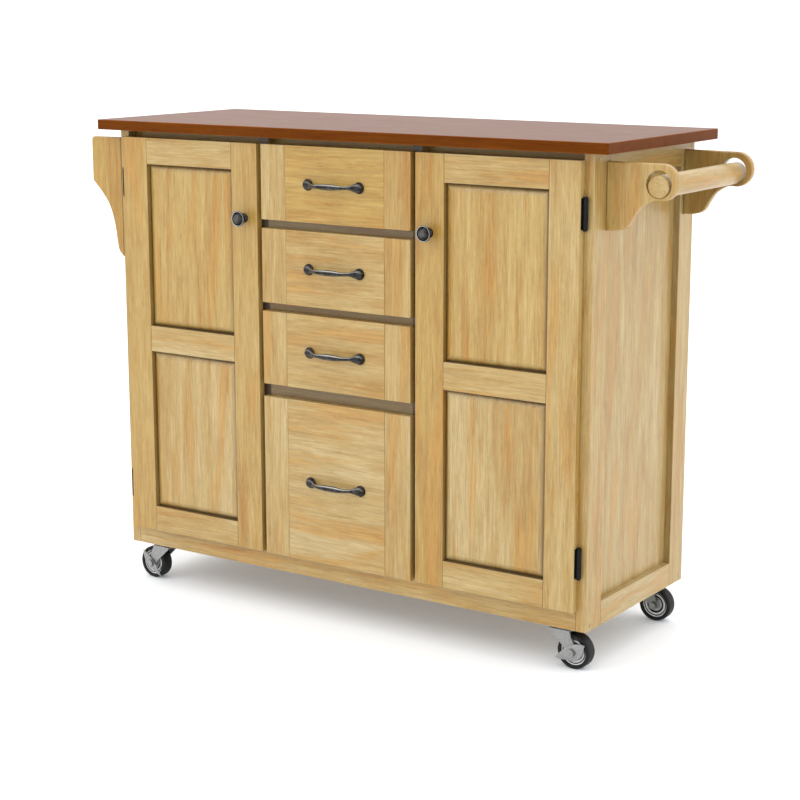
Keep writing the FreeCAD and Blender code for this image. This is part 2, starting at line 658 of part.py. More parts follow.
def cheek(side):
    """A flat fork cheek: broad at the crown, tapering to a round foot on the axle."""
    foot = size("cheek_foot_radius")
    crown = size("crown_radius")
    trail = size("caster_trail")
    top = size("crown_height")
    axle = size("wheel_radius")
    across = size(cheek_inner) if side > 0 else -size(cheek_outer)
    outline = [FreeCAD.Vector(-crown, across, top), FreeCAD.Vector(crown, across, top),
               FreeCAD.Vector(trail + foot, across, axle),
               FreeCAD.Vector(trail, across, axle - foot),
               FreeCAD.Vector(trail - foot, across, axle)]
    edges = [Part.LineSegment(outline[0], outline[1]), Part.LineSegment(outline[1], outline[2]),
             Part.Arc(outline[2], outline[3], outline[4]), Part.LineSegment(outline[4], outline[0])]
    face = Part.Face(Part.Wire([edge.toShape() for edge in edges]))
    return face.extrude(FreeCAD.Vector(0, size("cheek_thickness"), 0))


def fork():
    """One pressed piece: two cheeks under a crown, bored for the kingpin and the axle."""
    crown = Part.makeBox(2 * size("crown_radius"), 2 * size(cheek_outer), size("crown_thickness"),
                         FreeCAD.Vector(-size("crown_radius"), -size(cheek_outer),
                                        size("crown_height")))
    race = Part.makeCylinder(size("bearing_radius"), size("crown_thickness") * 0.6,
                             FreeCAD.Vector(0, 0, size("crown_height + crown_thickness")))
    bore = Part.makeCylinder(size("kingpin_radius + kingpin_gap"), size("total_height"))
    axle = Part.makeCylinder(size("axle_radius"), 4 * size(cheek_outer),
                             FreeCAD.Vector(size("caster_trail"), -2 * size(cheek_outer),
                                            size("wheel_radius")), Y_AXIS)
    shape = crown.fuse([cheek(-1), cheek(1), race]).cut(bore).cut(axle)
    item = doc.addObject("Part::Feature", "fork")
    item.Shape = shape.removeSplitter()
    return item


def axle():
    """A bolt through both cheeks with a head on one side and a nut on the other."""
    half = f"{cheek_outer} + pedal_thickness + 2 * pedal_gap"
    shank = local_cylinder("axle_radius", f"2 * ({half})", "caster_trail", f"-({half})",
                           "wheel_radius")
    ends = [local_cylinder("axle_head_radius", "axle_head_height", "caster_trail", start,
                           "wheel_radius")
            for start in (f"-({half}) - axle_head_height", half)]
    return joined([shank] + ends)


def tyre():
    """A rubber ring with rounded shoulders."""
    ring = local_cylinder("wheel_radius", "wheel_width", "caster_trail", "-wheel_width / 2",
                          "wheel_radius")
    bore = local_cylinder("hub_radius", "wheel_width + 2", "caster_trail", "-wheel_width / 2 - 1",
                          "wheel_radius")
    doc.recompute()
    rounded = doc.addObject("Part::Fillet", "shoulders")
    rounded.Base = ring
    rims = [number for number, edge in enumerate(ring.Shape.Edges, start=1)
            if edge.Curve.TypeId == "Part::GeomCircle"]
    shoulder = size("wheel_width") * 0.13
    rounded.Edges = [(number, shoulder, shoulder) for number in rims]
    return cut(rounded, [bore])


def hub():
    """A disc with a boss on each side, bored to turn on the axle."""
    disc = local_cylinder("hub_radius", "hub_width", "caster_trail", "-hub_width / 2",
                          "wheel_radius")
    boss = local_cylinder("hub_boss_radius", "wheel_width + cheek_gap", "caster_trail",
                          "-(wheel_width + cheek_gap) / 2", "wheel_radius")
    bore = local_cylinder("axle_radius + axle_gap", "2 * wheel_width", "caster_trail",
                          "-wheel_width", "wheel_radius")
    return cut(joined([disc, boss]), [bore])


def pedal(side):
    """A flat stamped pedal on the axle: a straight upper edge with two tips over a round belly."""
    radius = size("pedal_radius")
    tip = size("pedal_tip")
    trail = size("caster_trail")
    low = size(f"{cheek_outer} + pedal_gap")
    start = low if side > 0 else -low - size("pedal_thickness")
    tilt = math.radians(size("left_pedal_tilt" if side > 0 else "right_pedal_tilt"))
    chord = 4.0
    points = [(-tip, chord), (tip * 0.86, chord), (radius * 0.9, -radius * 0.45), (0, -radius),
              (-radius * 0.9, -radius * 0.45)]
    turned = [FreeCAD.Vector(trail + u * math.cos(tilt) - w * math.sin(tilt), start,
                             size("wheel_radius") + u * math.sin(tilt) + w * math.cos(tilt))
              for u, w in points]
    edges = [Part.LineSegment(turned[0], turned[1]), Part.LineSegment(turned[1], turned[2]),
             Part.Arc(turned[2], turned[3], turned[4]), Part.LineSegment(turned[4], turned[0])]
    face = Part.Face(Part.Wire([edge.toShape() for edge in edges]))
    plate = face.extrude(FreeCAD.Vector(0, size("pedal_thickness"), 0))
    bore = Part.makeCylinder(size("axle_radius + axle_gap"), 4 * low,
                             FreeCAD.Vector(trail, -2 * low, size("wheel_radius")), Y_AXIS)
    item = doc.addObject("Part::Feature", "pedal")
    item.Shape = plate.cut(bore)
    return item


casters = [("front_left", -1, False, "left_heading"), ("front_right", 1, False, "right_heading"),
           ("rear_left", -1, True, "left_heading"), ("rear_right", 1, True, "right_heading")]
plates = []
blocks = []
for name, side, rear, heading in casters:
    along_y = "cabinet_depth - caster_inset_y" if rear else "caster_inset_y"
    centre_x = f"{side} * (caster_x)"
    plate = board((f"{centre_x} - plate_length / 2", f"{centre_x} + plate_length / 2"),
                  (f"{along_y} - plate_width / 2", f"{along_y} + plate_width / 2"),
                  ("floor_clearance - plate_thickness", "floor_clearance"))
    seat = rod("bearing_radius", "floor_clearance - plate_thickness - crown_height"
               " - crown_thickness * 1.6 - kingpin_gap", centre_x, along_y,
               "crown_height + crown_thickness * 1.6 + kingpin_gap")
    kingpin = rod("kingpin_radius", "floor_clearance - crown_height", centre_x, along_y,
                  "crown_height")
    kingpin_head = rod("kingpin_radius + 3", "2", centre_x, along_y,
                       "crown_height - 2 - kingpin_gap")
    neck = rod("kingpin_radius", "kingpin_gap", centre_x, along_y, "crown_height - kingpin_gap")
    plates.append(joined([plate, seat, kingpin, neck, kingpin_head]))
    block_y = ("rail_thickness", "rail_thickness + block_width")
    if rear:
        block_y = ("back_face - block_width", "back_face")
    blocks.append(board(mirrored("inner_half - block_length", "inner_half", side), block_y,
                        ("floor_clearance", "floor_clearance + block_height")))
    subpart(f"{name}_fork", stand(group([fork(), axle()]), side, rear, heading))
    subpart(f"{name}_tyre", stand(tyre(), side, rear, heading))
    subpart(f"{name}_hub", stand(hub(), side, rear, heading))
    if not rear:
        subpart(f"{name}_brake_pedal", stand(pedal(-side), side, rear, heading))
subpart("caster_plates", group(plates))
subpart("caster_blocks", group(blocks))

doc.recompute()
for item in doc.Objects:
    if "Invalid" in item.State or "Error" in item.State:
        raise RuntimeError(f"{item.Name} ({item.Label}) failed: {item.State}")
for label, item in subparts.items():
    if item.Shape.isNull() or not item.Shape.isValid() or not item.Shape.Solids:
        raise RuntimeError(f"{label} has no valid solid")

os.makedirs("parts", exist_ok=True)
for label, item in subparts.items():
    item.Shape.exportStep(f"parts/{label}.step")
    box = item.Shape.BoundBox
    print(f"{label:28s} solids {len(item.Shape.Solids):2d}  volume {item.Shape.Volume / 1000:9.1f}"
          f"  x {box.XMin:8.1f} {box.XMax:8.1f}  y {box.YMin:8.1f} {box.YMax:8.1f}"
          f"  z {box.ZMin:7.1f} {box.ZMax:7.1f}")
print(len(subparts), "sub-parts")
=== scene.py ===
import json
import math

import bpy
import numpy as np
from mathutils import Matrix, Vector
from mathutils.geometry import tessellate_polygon


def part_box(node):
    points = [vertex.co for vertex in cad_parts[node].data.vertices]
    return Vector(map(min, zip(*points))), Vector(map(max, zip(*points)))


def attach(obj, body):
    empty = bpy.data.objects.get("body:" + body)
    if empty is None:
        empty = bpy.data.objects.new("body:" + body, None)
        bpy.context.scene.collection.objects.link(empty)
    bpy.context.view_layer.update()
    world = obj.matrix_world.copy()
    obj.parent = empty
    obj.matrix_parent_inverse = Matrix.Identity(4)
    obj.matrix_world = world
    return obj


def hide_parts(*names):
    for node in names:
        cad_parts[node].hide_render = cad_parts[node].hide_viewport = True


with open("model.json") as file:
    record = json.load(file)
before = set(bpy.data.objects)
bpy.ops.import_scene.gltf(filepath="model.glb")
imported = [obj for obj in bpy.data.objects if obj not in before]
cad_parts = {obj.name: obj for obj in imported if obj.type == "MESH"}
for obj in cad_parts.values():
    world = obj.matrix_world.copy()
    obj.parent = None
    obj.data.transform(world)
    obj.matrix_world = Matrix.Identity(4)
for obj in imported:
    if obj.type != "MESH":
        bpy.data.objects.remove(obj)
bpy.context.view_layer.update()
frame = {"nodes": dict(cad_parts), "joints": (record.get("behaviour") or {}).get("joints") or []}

nodes = frame["nodes"]
rng = np.random.default_rng(268)

# The slab top. One flat hardwood board, 19 mm thick, with eased edges. It is stained a
# reddish-brown cherry and lacquered to a satin sheen, and is screwed down from below.

slab_ease = 0.0016
slab_corner = 0.0045
X, Y, Z = 0, 1, 2


def place_in_log():
    """A random place in the wood, 40 m either way, so that no two boards share a figure."""
    return rng.uniform(-40, 40, 3)


def rounded_run(low, high, ease, steps):
    """Stations from low to high, close together at both ends, where an arris is rounded.

    At each end they move ease times (1 - cos t) inwards, for t from 0 to a right angle. Returns
    the stations, t, and how far the skin faces along the run: minus cos t, then cos t."""
    turn = np.linspace(0, math.pi / 2, steps + 1)
    station = np.concatenate([low + ease * (1 - np.cos(turn)),
                              high - ease * (1 - np.cos(turn[::-1]))])
    return (station, np.concatenate([turn, turn[::-1]]),
            np.concatenate([-np.cos(turn), np.cos(turn[::-1])]))


def four_corners(count):
    """The angles of four quarter circles of count points, and the sides that each lies on."""
    angle = np.arange(4)[:, None] * math.pi / 2 + np.linspace(0, math.pi / 2, count)
    quarter = np.repeat(np.arange(4), count)
    return angle.ravel(), np.array([1, -1, -1, 1])[quarter], np.array([1, 1, -1, -1])[quarter]


def ring_grid(rows, columns):
    """A grid whose rows are closed rings: its numbers, each one's neighbour, and the quads."""
    index = np.arange(rows * columns).reshape(rows, columns)
    after = np.roll(index, -1, axis=1)
    quads = np.stack([index[:-1], after[:-1], after[1:], index[1:]], axis=-1)
    return index, after, quads.reshape(-1, 4)


def closed_rings(rows, columns):
    """The quads of a grid whose rows are closed rings, and a face over each end of it."""
    index, _, quads = ring_grid(rows, columns)
    return quads.tolist() + [index[0, ::-1].tolist(), index[-1].tolist()]


def board(low, high, grain, ease=0.0011, steps=3, shaded=(), tone=None, joint=0.5):
    """One board with rounded arrises, as a section carried along the grain.

    The section is a rectangle whose corners are quarter circles of radius ease. At each end it
    draws in by ease times (1 - sin t) while it moves ease times (1 - cos t) along the grain, for
    t from 0 to a right angle, so every edge is a quarter circle too. Returns points, normals,
    faces, grain coordinates (metres along the grain, then across it), how far each point is
    round an arris, and how dark it is painted: painted shade by how squarely it faces one of the
    shaded directions, where a groove or a gap lies in shade, or by joint round the two end
    arrises, where a glued joint shows as a thin dark line. Tone runs from 0, a pale board, to 1,
    an amber one."""
    low, high = np.array(low, float), np.array(high, float)
    across = [axis for axis in (X, Y, Z) if axis != grain]
    if grain == Y:
        across = across[::-1]
    centre, half = (low + high) / 2, (high - low) / 2
    ease = min(ease, half.min() * 0.9)
    station, tuck, toward = rounded_run(-half[grain], half[grain], ease, steps)
    corner, sign_b, sign_c = four_corners(steps + 1)
    lean = np.sin(tuck)[:, None]
    reach = np.maximum(ease * lean, ease * 0.01)
    b = sign_b * (half[across[0]] - ease) + reach * np.cos(corner)
    c = sign_c * (half[across[1]] - ease) + reach * np.sin(corner)
    points = np.zeros((len(station), len(corner), 3))
    points[..., grain] = station[:, None]
    points[..., across[0]] = b
    points[..., across[1]] = c
    normals = np.zeros_like(points)
    normals[..., grain] = toward[:, None]
    normals[..., across[0]] = lean * np.cos(corner)
    normals[..., across[1]] = lean * np.sin(corner)
    rows, columns = points.shape[:2]
    coordinates = points[..., [grain, *across]] + place_in_log()
    round_section = np.abs(np.sin(2 * corner))[None, :] + np.zeros((rows, 1))
    arris = np.clip(np.maximum(round_section, np.abs(np.sin(2 * tuck))[:, None]), 0, 1)
    flat = normals.reshape(-1, 3)
    painted_shade_and_joint = np.repeat(joint * np.abs(np.sin(2 * tuck)) ** 0.5, columns)
    for direction in shaded:
        painted_shade_and_joint = np.maximum(painted_shade_and_joint, flat @ np.array(direction, float))
    chance = rng.uniform(0, 1)
    return {"points": (points + centre).reshape(-1, 3), "normals": flat,
            "faces": closed_rings(rows, columns), "grain": coordinates.reshape(-1, 3),
            "arris": arris.ravel(), "painted_shade_and_joint": painted_shade_and_joint,
            "tone": np.full(rows * columns, chance if tone is None else tone)}


def slab_board(low, high, corner, ease, steps=6, corner_points=9):
    """The slab as level outlines, one above another.

    An outline is a rectangle whose corners are quarter circles of radius corner. Near the two
    faces it draws in by ease times (1 - sin t) while it moves ease times (1 - cos t) from the
    face, for t from 0 to a right angle, which rounds both edges."""
    low, high = np.array(low, float), np.array(high, float)
    centre, half = (low + high) / 2, (high - low) / 2
    level, tuck, upward = rounded_run(-half[Z], half[Z], ease, steps)
    angle, side_x, side_y = four_corners(corner_points)
    heart = np.stack([side_x * (half[X] - corner), side_y * (half[Y] - corner)], axis=1)
    away = np.stack([np.cos(angle), np.sin(angle)], axis=1)
    drawn = corner - ease * (1 - np.sin(tuck))
    points = np.zeros((len(level), len(angle), 3))
    points[..., :2] = heart[None] + away[None] * drawn[:, None, None]
    points[..., 2] = level[:, None]
    normals = np.zeros_like(points)
    normals[..., :2] = away[None] * np.sin(tuck)[:, None, None]
    normals[..., 2] = upward[:, None]
    points = points.reshape(-1, 3)
    return {"points": points + centre, "normals": normals.reshape(-1, 3),
            "faces": closed_rings(len(level), len(angle)), "grain": points + place_in_log(),
            "arris": np.repeat(np.abs(np.sin(2 * tuck)), len(angle)),
            "tone": np.full(len(points), 0.5)}


def joined_mesh(name, parts):
    """One smooth mesh from (points, faces) parts, each part's faces numbered past the last's."""
    mesh = bpy.data.meshes.new(name)
    starts = np.cumsum([0] + [len(points) for points, _ in parts[:-1]])
    faces = [[corner + start for corner in face]
             for (_, part_faces), start in zip(parts, starts) for face in part_faces]
    mesh.from_pydata(np.concatenate([points for points, _ in parts]), [], faces)
    mesh.shade_smooth()
    return mesh


def store(mesh, key, values, kind="FLOAT", field="value"):
    """Keeps one value for each point of a mesh, for its finish to read."""
    values = np.ascontiguousarray(values, np.float32)
    mesh.attributes.new(key, kind, "POINT").data.foreach_set(field, values.ravel())


def fitted(name, mesh, finish, body, cad_nodes):
    """Makes a mesh a piece that rides on a body and stands for its CAD nodes."""
    mesh.materials.append(finish)
    piece = bpy.data.objects.new(name, mesh)
    bpy.context.scene.collection.objects.link(piece)
    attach(piece, body)
    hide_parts(*cad_nodes)
    return piece


def wooden_piece(name, boards, finish, body, slot, *cad_nodes):
    """Joins boards into one piece, with the normals that they give."""
    mesh = joined_mesh(name, [(item["points"], item["faces"]) for item in boards])
    store(mesh, "grain", np.concatenate([item["grain"] for item in boards]), "FLOAT_VECTOR",
          "vector")
    for key in ("tone", "arris", "painted_shade_and_joint"):
        store(mesh, key, np.concatenate([item.get(key, item["tone"] * 0) for item in boards]))
    if "normals" in boards[0]:
        mesh.normals_split_custom_set_from_vertices(
            np.concatenate([item["normals"] for item in boards]))
    return fitted(name, mesh, finish, body, cad_nodes)


def bare_finish(name):
    """A new material, its nodes, and a way to add and join them."""
    finish = bpy.data.materials.new(name)
    finish.use_nodes = True
    tree = finish.node_tree
    shader = tree.nodes["Principled BSDF"]

    def node(kind, inputs=(), **settings):
        made = tree.nodes.new("ShaderNode" + kind)
        for key, value in settings.items():
            setattr(made, key, value)
        for key, value in dict(inputs).items():
            if isinstance(value, bpy.types.NodeSocket):
                tree.links.new(value, made.inputs[key])
            else:
                made.inputs[key].default_value = value
        return made

    def join(source, target):
        tree.links.new(source, target)

    return finish, shader, node, join


def ramp(node, factor, stops):
    """A colour ramp through (place, colour) stops."""
    made = node("ValToRGB", {"Fac": factor})
    elements = made.color_ramp.elements
    while len(elements) < len(stops):
        elements.new(0.5)
    for element, (place, colour) in zip(elements, stops):
        element.position = place
        element.color = (*colour, 1)
    return made.outputs["Color"]


def rescaled(node, value, taken, given):
    """A value moved from one range to another."""
    return node("MapRange", {"Value": value, "From Min": taken[0], "From Max": taken[1],
                             "To Min": given[0], "To Max": given[1]}).outputs[0]


def wood_finish(name, pale, honey, amber, pore, *, strip=0.0, figure_strength=1.0, gloss=0.36,
                coat=0.15, edge=0.12, tone_spread=0.3, groove=(0.024, 0.010, 0.002), depth=0.85,
                edge_highlight=None):
    """Lacquered wood read from the board's own grain coordinates.

    Colour runs from pale through honey to amber by soft noise stretched along the grain. Over it
    lie golden bands, narrow veins where two noises are both high, fine fibre and short dark
    pores, and the whole is tinted by the board's tone, from pale to amber. Where strip is set,
    there are glued strips of that width, each with its own tone and figure. Arrises take the
    edge highlight colour by edge, a painted highlight, and the groove colour (painted shade and
    the dark lines of joints) lies where the board's shade attribute is high."""
    finish, shader, node, join = bare_finish(name)
    grain = node("Attribute", attribute_name="grain").outputs["Vector"]
    tone = node("Attribute", attribute_name="tone").outputs["Fac"]
    arris = node("Attribute", attribute_name="arris").outputs["Fac"]
    painted_shade_and_joint = node("Attribute", attribute_name="painted_shade_and_joint").outputs["Fac"]
    tint = ramp(node, tone, [(0.0, (1.00, 1.02, 1.02)), (0.5, (0.99, 0.97, 0.86)),
                             (1.0, (0.98, 0.90, 0.54))])

    def sum_of(*terms):
        """Each term is (socket, weight); the weighted sum."""
        total = node("Math", {0: terms[0][0], 1: terms[0][1]}, operation="MULTIPLY").outputs[0]
        for socket, weight in terms[1:]:
            total = node("Math", {0: socket, 1: weight, 2: total},
                         operation="MULTIPLY_ADD").outputs[0]
        return total

    def product(first, second):
        return node("Math", {0: first, 1: second}, operation="MULTIPLY").outputs[0]

    def gate(value, shut, full):
        """0 up to shut, rising to 1 at full."""
        return ramp(node, value, [(shut, (0, 0, 0)), (full, (1, 1, 1))])

    if strip:
        split = node("SeparateXYZ", {0: grain})
        cell = node("Math", {0: split.outputs[1], 1: strip}, operation="DIVIDE")
        cell = node("Math", {0: cell.outputs[0]}, operation="FLOOR")
        chance = node("TexWhiteNoise", {"W": cell.outputs[0]}, noise_dimensions="1D")
        slide = node("VectorMath", {0: chance.outputs["Color"], 1: (30.0, 7.0, 5.0)},
                     operation="MULTIPLY")
        grain = node("VectorMath", {0: grain, 1: slide.outputs[0]}, operation="ADD").outputs[0]
        tone = sum_of((tone, 0.35), (chance.outputs["Value"], 0.65))

    def stretched(scale, detail=3.0, rough=0.5, distortion=0.0):
        along = node("Mapping", {"Vector": grain, "Scale": scale})
        return node("TexNoise", {"Vector": along.outputs[0], "Scale": 1.0, "Detail": detail,
                                 "Roughness": rough, "Distortion": distortion}).outputs["Fac"]

    figure = stretched((2.6, 24.0, 24.0), 5.0, 0.6, 0.9)
    streak = stretched((6.0, 95.0, 95.0), 3.0, 0.6, 0.4)
    fibre = stretched((16.0, 330.0, 330.0), 4.0, 0.7)
    patch = stretched((3.2, 30.0, 30.0), 2.0, 0.5, 0.7)
    mottle = stretched((26.0, 90.0, 90.0), 4.0, 0.7, 0.8)
    spread = node("Math", {0: tone, 1: 0.5}, operation="SUBTRACT").outputs[0]
    weighted = sum_of((figure, 0.42), (streak, 0.20), (patch, 0.16), (mottle, 0.22),
                      (spread, tone_spread * 0.2))
    half = 0.115 / figure_strength
    colour = ramp(node, weighted, [(0.47 - half, pale), (0.48, honey), (0.49 + half, amber)])

    golden = (1.06 * honey[0], 0.86 * honey[1], 0.55 * honey[2])
    band = product(gate(patch, 0.54, 0.66), 0.7 * figure_strength)
    colour = mixed(node, band, colour, golden)
    russet = (1.05 * amber[0], 0.82 * amber[1], 0.45 * amber[2])
    vein = product(gate(streak, 0.52, 0.68), gate(figure, 0.47, 0.62))
    colour = mixed(node, product(vein, 0.6 * figure_strength), colour, russet)
    dots = gate(stretched((60.0, 1100.0, 1100.0), 1.0, 0.5), 0.60, 0.72)
    dark = product(product(dots, gate(streak, 0.42, 0.62)), 0.5)
    colour = mixed(node, dark, colour, pore)
    soft_fibre = ramp(node, fibre, [(0.34, (0.80, 0.76, 0.68)), (0.66, (1.10, 1.11, 1.13))])
    colour = multiplied(node, multiplied(node, colour, soft_fibre), tint)
    # Arrises are lightened towards this colour by edge: a painted highlight.
    edge_highlight = edge_highlight or tuple(min(1.0, part * 1.3 + 0.03) for part in pale)
    colour = mixed(node, product(arris, edge), colour, edge_highlight)
    # Painted shade in grooves and gaps, and dark joint lines, laid on by the board's shade
    # attribute.
    colour = mixed(node, product(painted_shade_and_joint, depth), colour, groove)
    join(colour, shader.inputs["Base Color"])

    join(rescaled(node, fibre, (0.3, 0.7), (gloss - 0.05, gloss + 0.07)),
         shader.inputs["Roughness"])
    height = sum_of((fibre, 0.7), (dots, -0.5))
    bump = node("Bump", {"Height": height, "Strength": 0.12, "Distance": 0.0004})
    join(bump.outputs[0], shader.inputs["Normal"])
    shader.inputs["Coat Weight"].default_value = coat
    shader.inputs["Coat Roughness"].default_value = 0.25
    return finish


def mixed(node, factor, under, over):
    """Under with over laid on it by factor."""
    made = node("Mix", data_type="RGBA")
    tree = made.id_data
    for socket, value in ((made.inputs[0], factor), (made.inputs[6], under),
                          (made.inputs[7], over)):
        if isinstance(value, bpy.types.NodeSocket):
            tree.links.new(value, socket)
        elif isinstance(value, tuple):
            socket.default_value = (*value, 1)
        else:
            socket.default_value = value
    return made.outputs[2]


def multiplied(node, first, second):
    """Two colours multiplied."""
    made = node("Mix", data_type="RGBA", blend_type="MULTIPLY")
    tree = made.id_data
    made.inputs[0].default_value = 1.0
    tree.links.new(first, made.inputs[6])
    tree.links.new(second, made.inputs[7])
    return made.outputs[2]


# The slab's rounded arrises take a bright red edge colour, a painted highlight.
cherry = wood_finish("cherry_stain", (0.152, 0.043, 0.0015), (0.130, 0.034, 0.0010),
                     (0.092, 0.022, 0.0007), (0.035, 0.008, 0.0005), strip=0.045, gloss=0.34,
                     coat=0.0, edge=0.35, tone_spread=0.4, figure_strength=0.6,
                     edge_highlight=(0.33, 0.09, 0.001))
cherry.node_tree.nodes["Principled BSDF"].inputs["Specular IOR Level"].default_value = 0.045
wooden_piece("slab", [slab_board(*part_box("top_slab"), slab_corner, slab_ease)], cherry,
             "cabinet", "cherry_top", "top_slab")

# Side frames. Each end of the cabinet is a frame of two stiles and two rails in clear-lacquered
# pale hardwood, 20 mm thick, glued and dowelled, with a thin panel of narrow glued strips set
# 12 mm back in the opening.

stile_width = 0.053
side_top_rail = 0.045
side_bottom_rail = 0.044

natural = wood_finish("natural_hardwood", (0.46, 0.345, 0.170), (0.40, 0.275, 0.102),
                      (0.34, 0.195, 0.045), (0.16, 0.08, 0.025))
natural_strips = wood_finish("natural_strips", (0.46, 0.345, 0.172), (0.40, 0.278, 0.106),
                             (0.34, 0.195, 0.047), (0.15, 0.075, 0.022), strip=0.046,
                             tone_spread=0.7)

# The front stile's face towards the panel, more faintly the rear stile's, and the top rail's
# underside carry painted shade.
for side in ("left", "right"):
    low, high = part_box(f"{side}_side_frame")
    front, rear = low.y + stile_width, high.y - stile_width
    boards = [board((low.x, low.y, low.z), (high.x, front, high.z), Z, shaded=[(0, 1, 0)],
                    tone=0.35),
              board((low.x, rear, low.z), (high.x, high.y, high.z), Z, shaded=[(0, -0.35, 0)],
                    tone=0.2),
              board((low.x, front, low.z), (high.x, rear, low.z + side_bottom_rail), Y,
                    tone=0.1),
              board((low.x, front, high.z - side_top_rail), (high.x, rear, high.z), Y,
                    shaded=[(0, 0, -0.6)], tone=0.5)]
    wooden_piece(f"{side}_frame", boards, natural, "cabinet", "natural_wood",
                 f"{side}_side_frame")
    wooden_piece(f"{side}_panel", [board(*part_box(f"{side}_side_panel"), Z, 0.0003, tone=0.0)],
                 natural_strips, "cabinet", "natural_wood", f"{side}_side_panel")

# The carcase between the side frames: front rails, two partitions, the drawer rails behind the
# gaps, and the plainer boards that only show when a door is open: floor, back, rear rails,
# shelves, blocks and runners.

plain = wood_finish("plain_board", (0.42, 0.32, 0.18), (0.37, 0.26, 0.13),
                    (0.31, 0.20, 0.085), (0.17, 0.10, 0.045), gloss=0.5, coat=0.0, strip=0.07,
                    figure_strength=0.7)


def single(name, grain, finish, slot="natural_wood", ease=0.0011):
    """A node of the cabinet that is one plain board."""
    wooden_piece(name + "_board", [board(*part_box(name), grain, ease)], finish, "cabinet", slot,
                 name)


single("front_bottom_rail", X, natural)
single("front_top_rail", X, natural)
single("cabinet_floor", X, plain, slot="inner_board")
single("back_panel", Z, plain, slot="inner_board", ease=0.0004)

partition_width = 0.020
low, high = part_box("partitions")
rail_low, rail_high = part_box("front_top_rail")
# The partitions' front edges are painted near-black: painted shade in the gaps beside the doors
# and the drawers.
boards = []
for start in (low.x, high.x - partition_width):
    end = start + partition_width
    boards += [board((start, low.y, low.z), (end, rail_low.y, high.z), Z, shaded=[(0, -1.2, 0)]),
               board((start, rail_low.y, low.z), (end, high.y, rail_low.z), Z),
               board((start, rail_high.y, rail_low.z), (end, high.y, high.z), Z)]
wooden_piece("partition_boards", boards, natural, "cabinet", "natural_wood", "partitions")

drawer_front_boxes = [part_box(f"drawer_{number}_front") for number in (1, 2, 3, 4)]
overlay = 0.006
low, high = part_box("drawer_rails")
# The drawer rails' fronts are painted darker: painted shade in the gaps between the drawers.
boards = [board((low.x, low.y, below[1].z - overlay), (high.x, high.y, above[0].z + overlay),
                X, shaded=[(0, -0.7, 0)])
          for above, below in zip(drawer_front_boxes, drawer_front_boxes[1:])]
wooden_piece("drawer_rail_boards", boards, natural, "cabinet", "natural_wood", "drawer_rails")

rear_rail_height = 0.060
low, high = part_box("rear_rails")
boards = [board(low, (high.x, high.y, low.z + rear_rail_height), X),
          board((low.x, low.y, high.z - rear_rail_height), high, X)]
wooden_piece("rear_rail_boards", boards, plain, "cabinet", "inner_board", "rear_rails")

shelf_gap = 0.0015
low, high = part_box("shelves")
partition_low, partition_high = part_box("partitions")
boards = [board(low, (partition_low.x - shelf_gap, high.y, high.z), X),
          board((partition_high.x + shelf_gap, low.y, low.z), high, X)]
wooden_piece("shelf_boards", boards, plain, "cabinet", "inner_board", "shelves")

block_length, block_width = 0.084, 0.052
low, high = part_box("caster_blocks")
boards = [board((x, y, low.z), (x + block_length, y + block_width, high.z), X)
          for x in (low.x, high.x - block_length) for y in (low.y, high.y - block_width)]
wooden_piece("caster_block_boards", boards, plain, "cabinet", "inner_board", "caster_blocks")

runner_height = 0.010
runner_drop = 0.020
runner_bite = 0.005
low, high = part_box("drawer_runners")
boards = []
for number in (1, 2, 3, 4):
    box_low, box_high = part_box(f"drawer_{number}_box")
    top = box_high.z - runner_drop
    reach = box_low.x + runner_bite - low.x
    for start in (low.x, high.x - reach):
        boards.append(board((start, low.y, top - runner_height), (start + reach, high.y, top), Y))
wooden_piece("runner_boards", boards, plain, "cabinet", "inner_board", "drawer_runners")

# Doors. Each is a frame of two stiles and three rails, 15 mm thick, round two raised panels of
# glued strips. The panels float in grooves: a bevel 12 mm wide rises 5.5 mm from a thin edge to
# a flat field, and a dark line of painted shade shows all round it, on the bevel and the frame's
# inner faces.

door_stile = 0.059
door_rail = 0.0505
bevel_width = 0.012
panel_rise = 0.0055
panel_gap = 0.0003
tongue_reach = 0.0055
tongue_back = -0.0035


def raised_panel(x, z, edge_y, tone):
    """A panel as nested rectangles, from a tongue in the groove over the bevel to the field.

    The profile is (distance in from the panel's edge, distance forward of its thin edge), and
    each of its points is a rectangle drawn in by that distance. The field is closed by one face,
    and so is the back."""
    profile = np.array([(0.03, tongue_back), (0.004, tongue_back), (0.0, tongue_back),
                        (-tongue_reach, tongue_back), (-tongue_reach, 0.0), (0.0, 0.0),
                        (0.0006, 0.00045), (0.0035, 0.0018), (0.0075, 0.0036),
                        (bevel_width - 0.0008, panel_rise - 0.0005),
                        (bevel_width + 0.0002, panel_rise), (bevel_width + 0.0015, panel_rise)])
    inset, forward = profile.T
    west, east = x[0] + panel_gap, x[1] - panel_gap
    low, high = z[0] + panel_gap, z[1] - panel_gap
    corners_x = np.stack([west + inset, east - inset, east - inset, west + inset], axis=1)
    corners_z = np.stack([low + inset, low + inset, high - inset, high - inset], axis=1)
    corners_y = edge_y - forward[:, None] + np.zeros((1, 4))
    points = np.stack([corners_x, corners_y, corners_z], axis=-1).reshape(-1, 3)
    # Painted shade darkens the panel round its thin edge, fading up the bevel, and more on its
    # right side.
    corner_shade = np.array([1.1, 1.5, 1.5, 1.1])
    painted_shade_and_joint = np.clip(corner_shade - np.abs(inset)[:, None] / tongue_reach, 0, 1)
    painted_shade_and_joint = (painted_shade_and_joint * (inset < bevel_width)[:, None]).ravel()
    return {"points": points, "faces": closed_rings(len(profile), 4),
            "grain": points[:, [Z, X, Y]] + place_in_log(), "painted_shade_and_joint": painted_shade_and_joint,
            "tone": np.full(len(points), tone)}


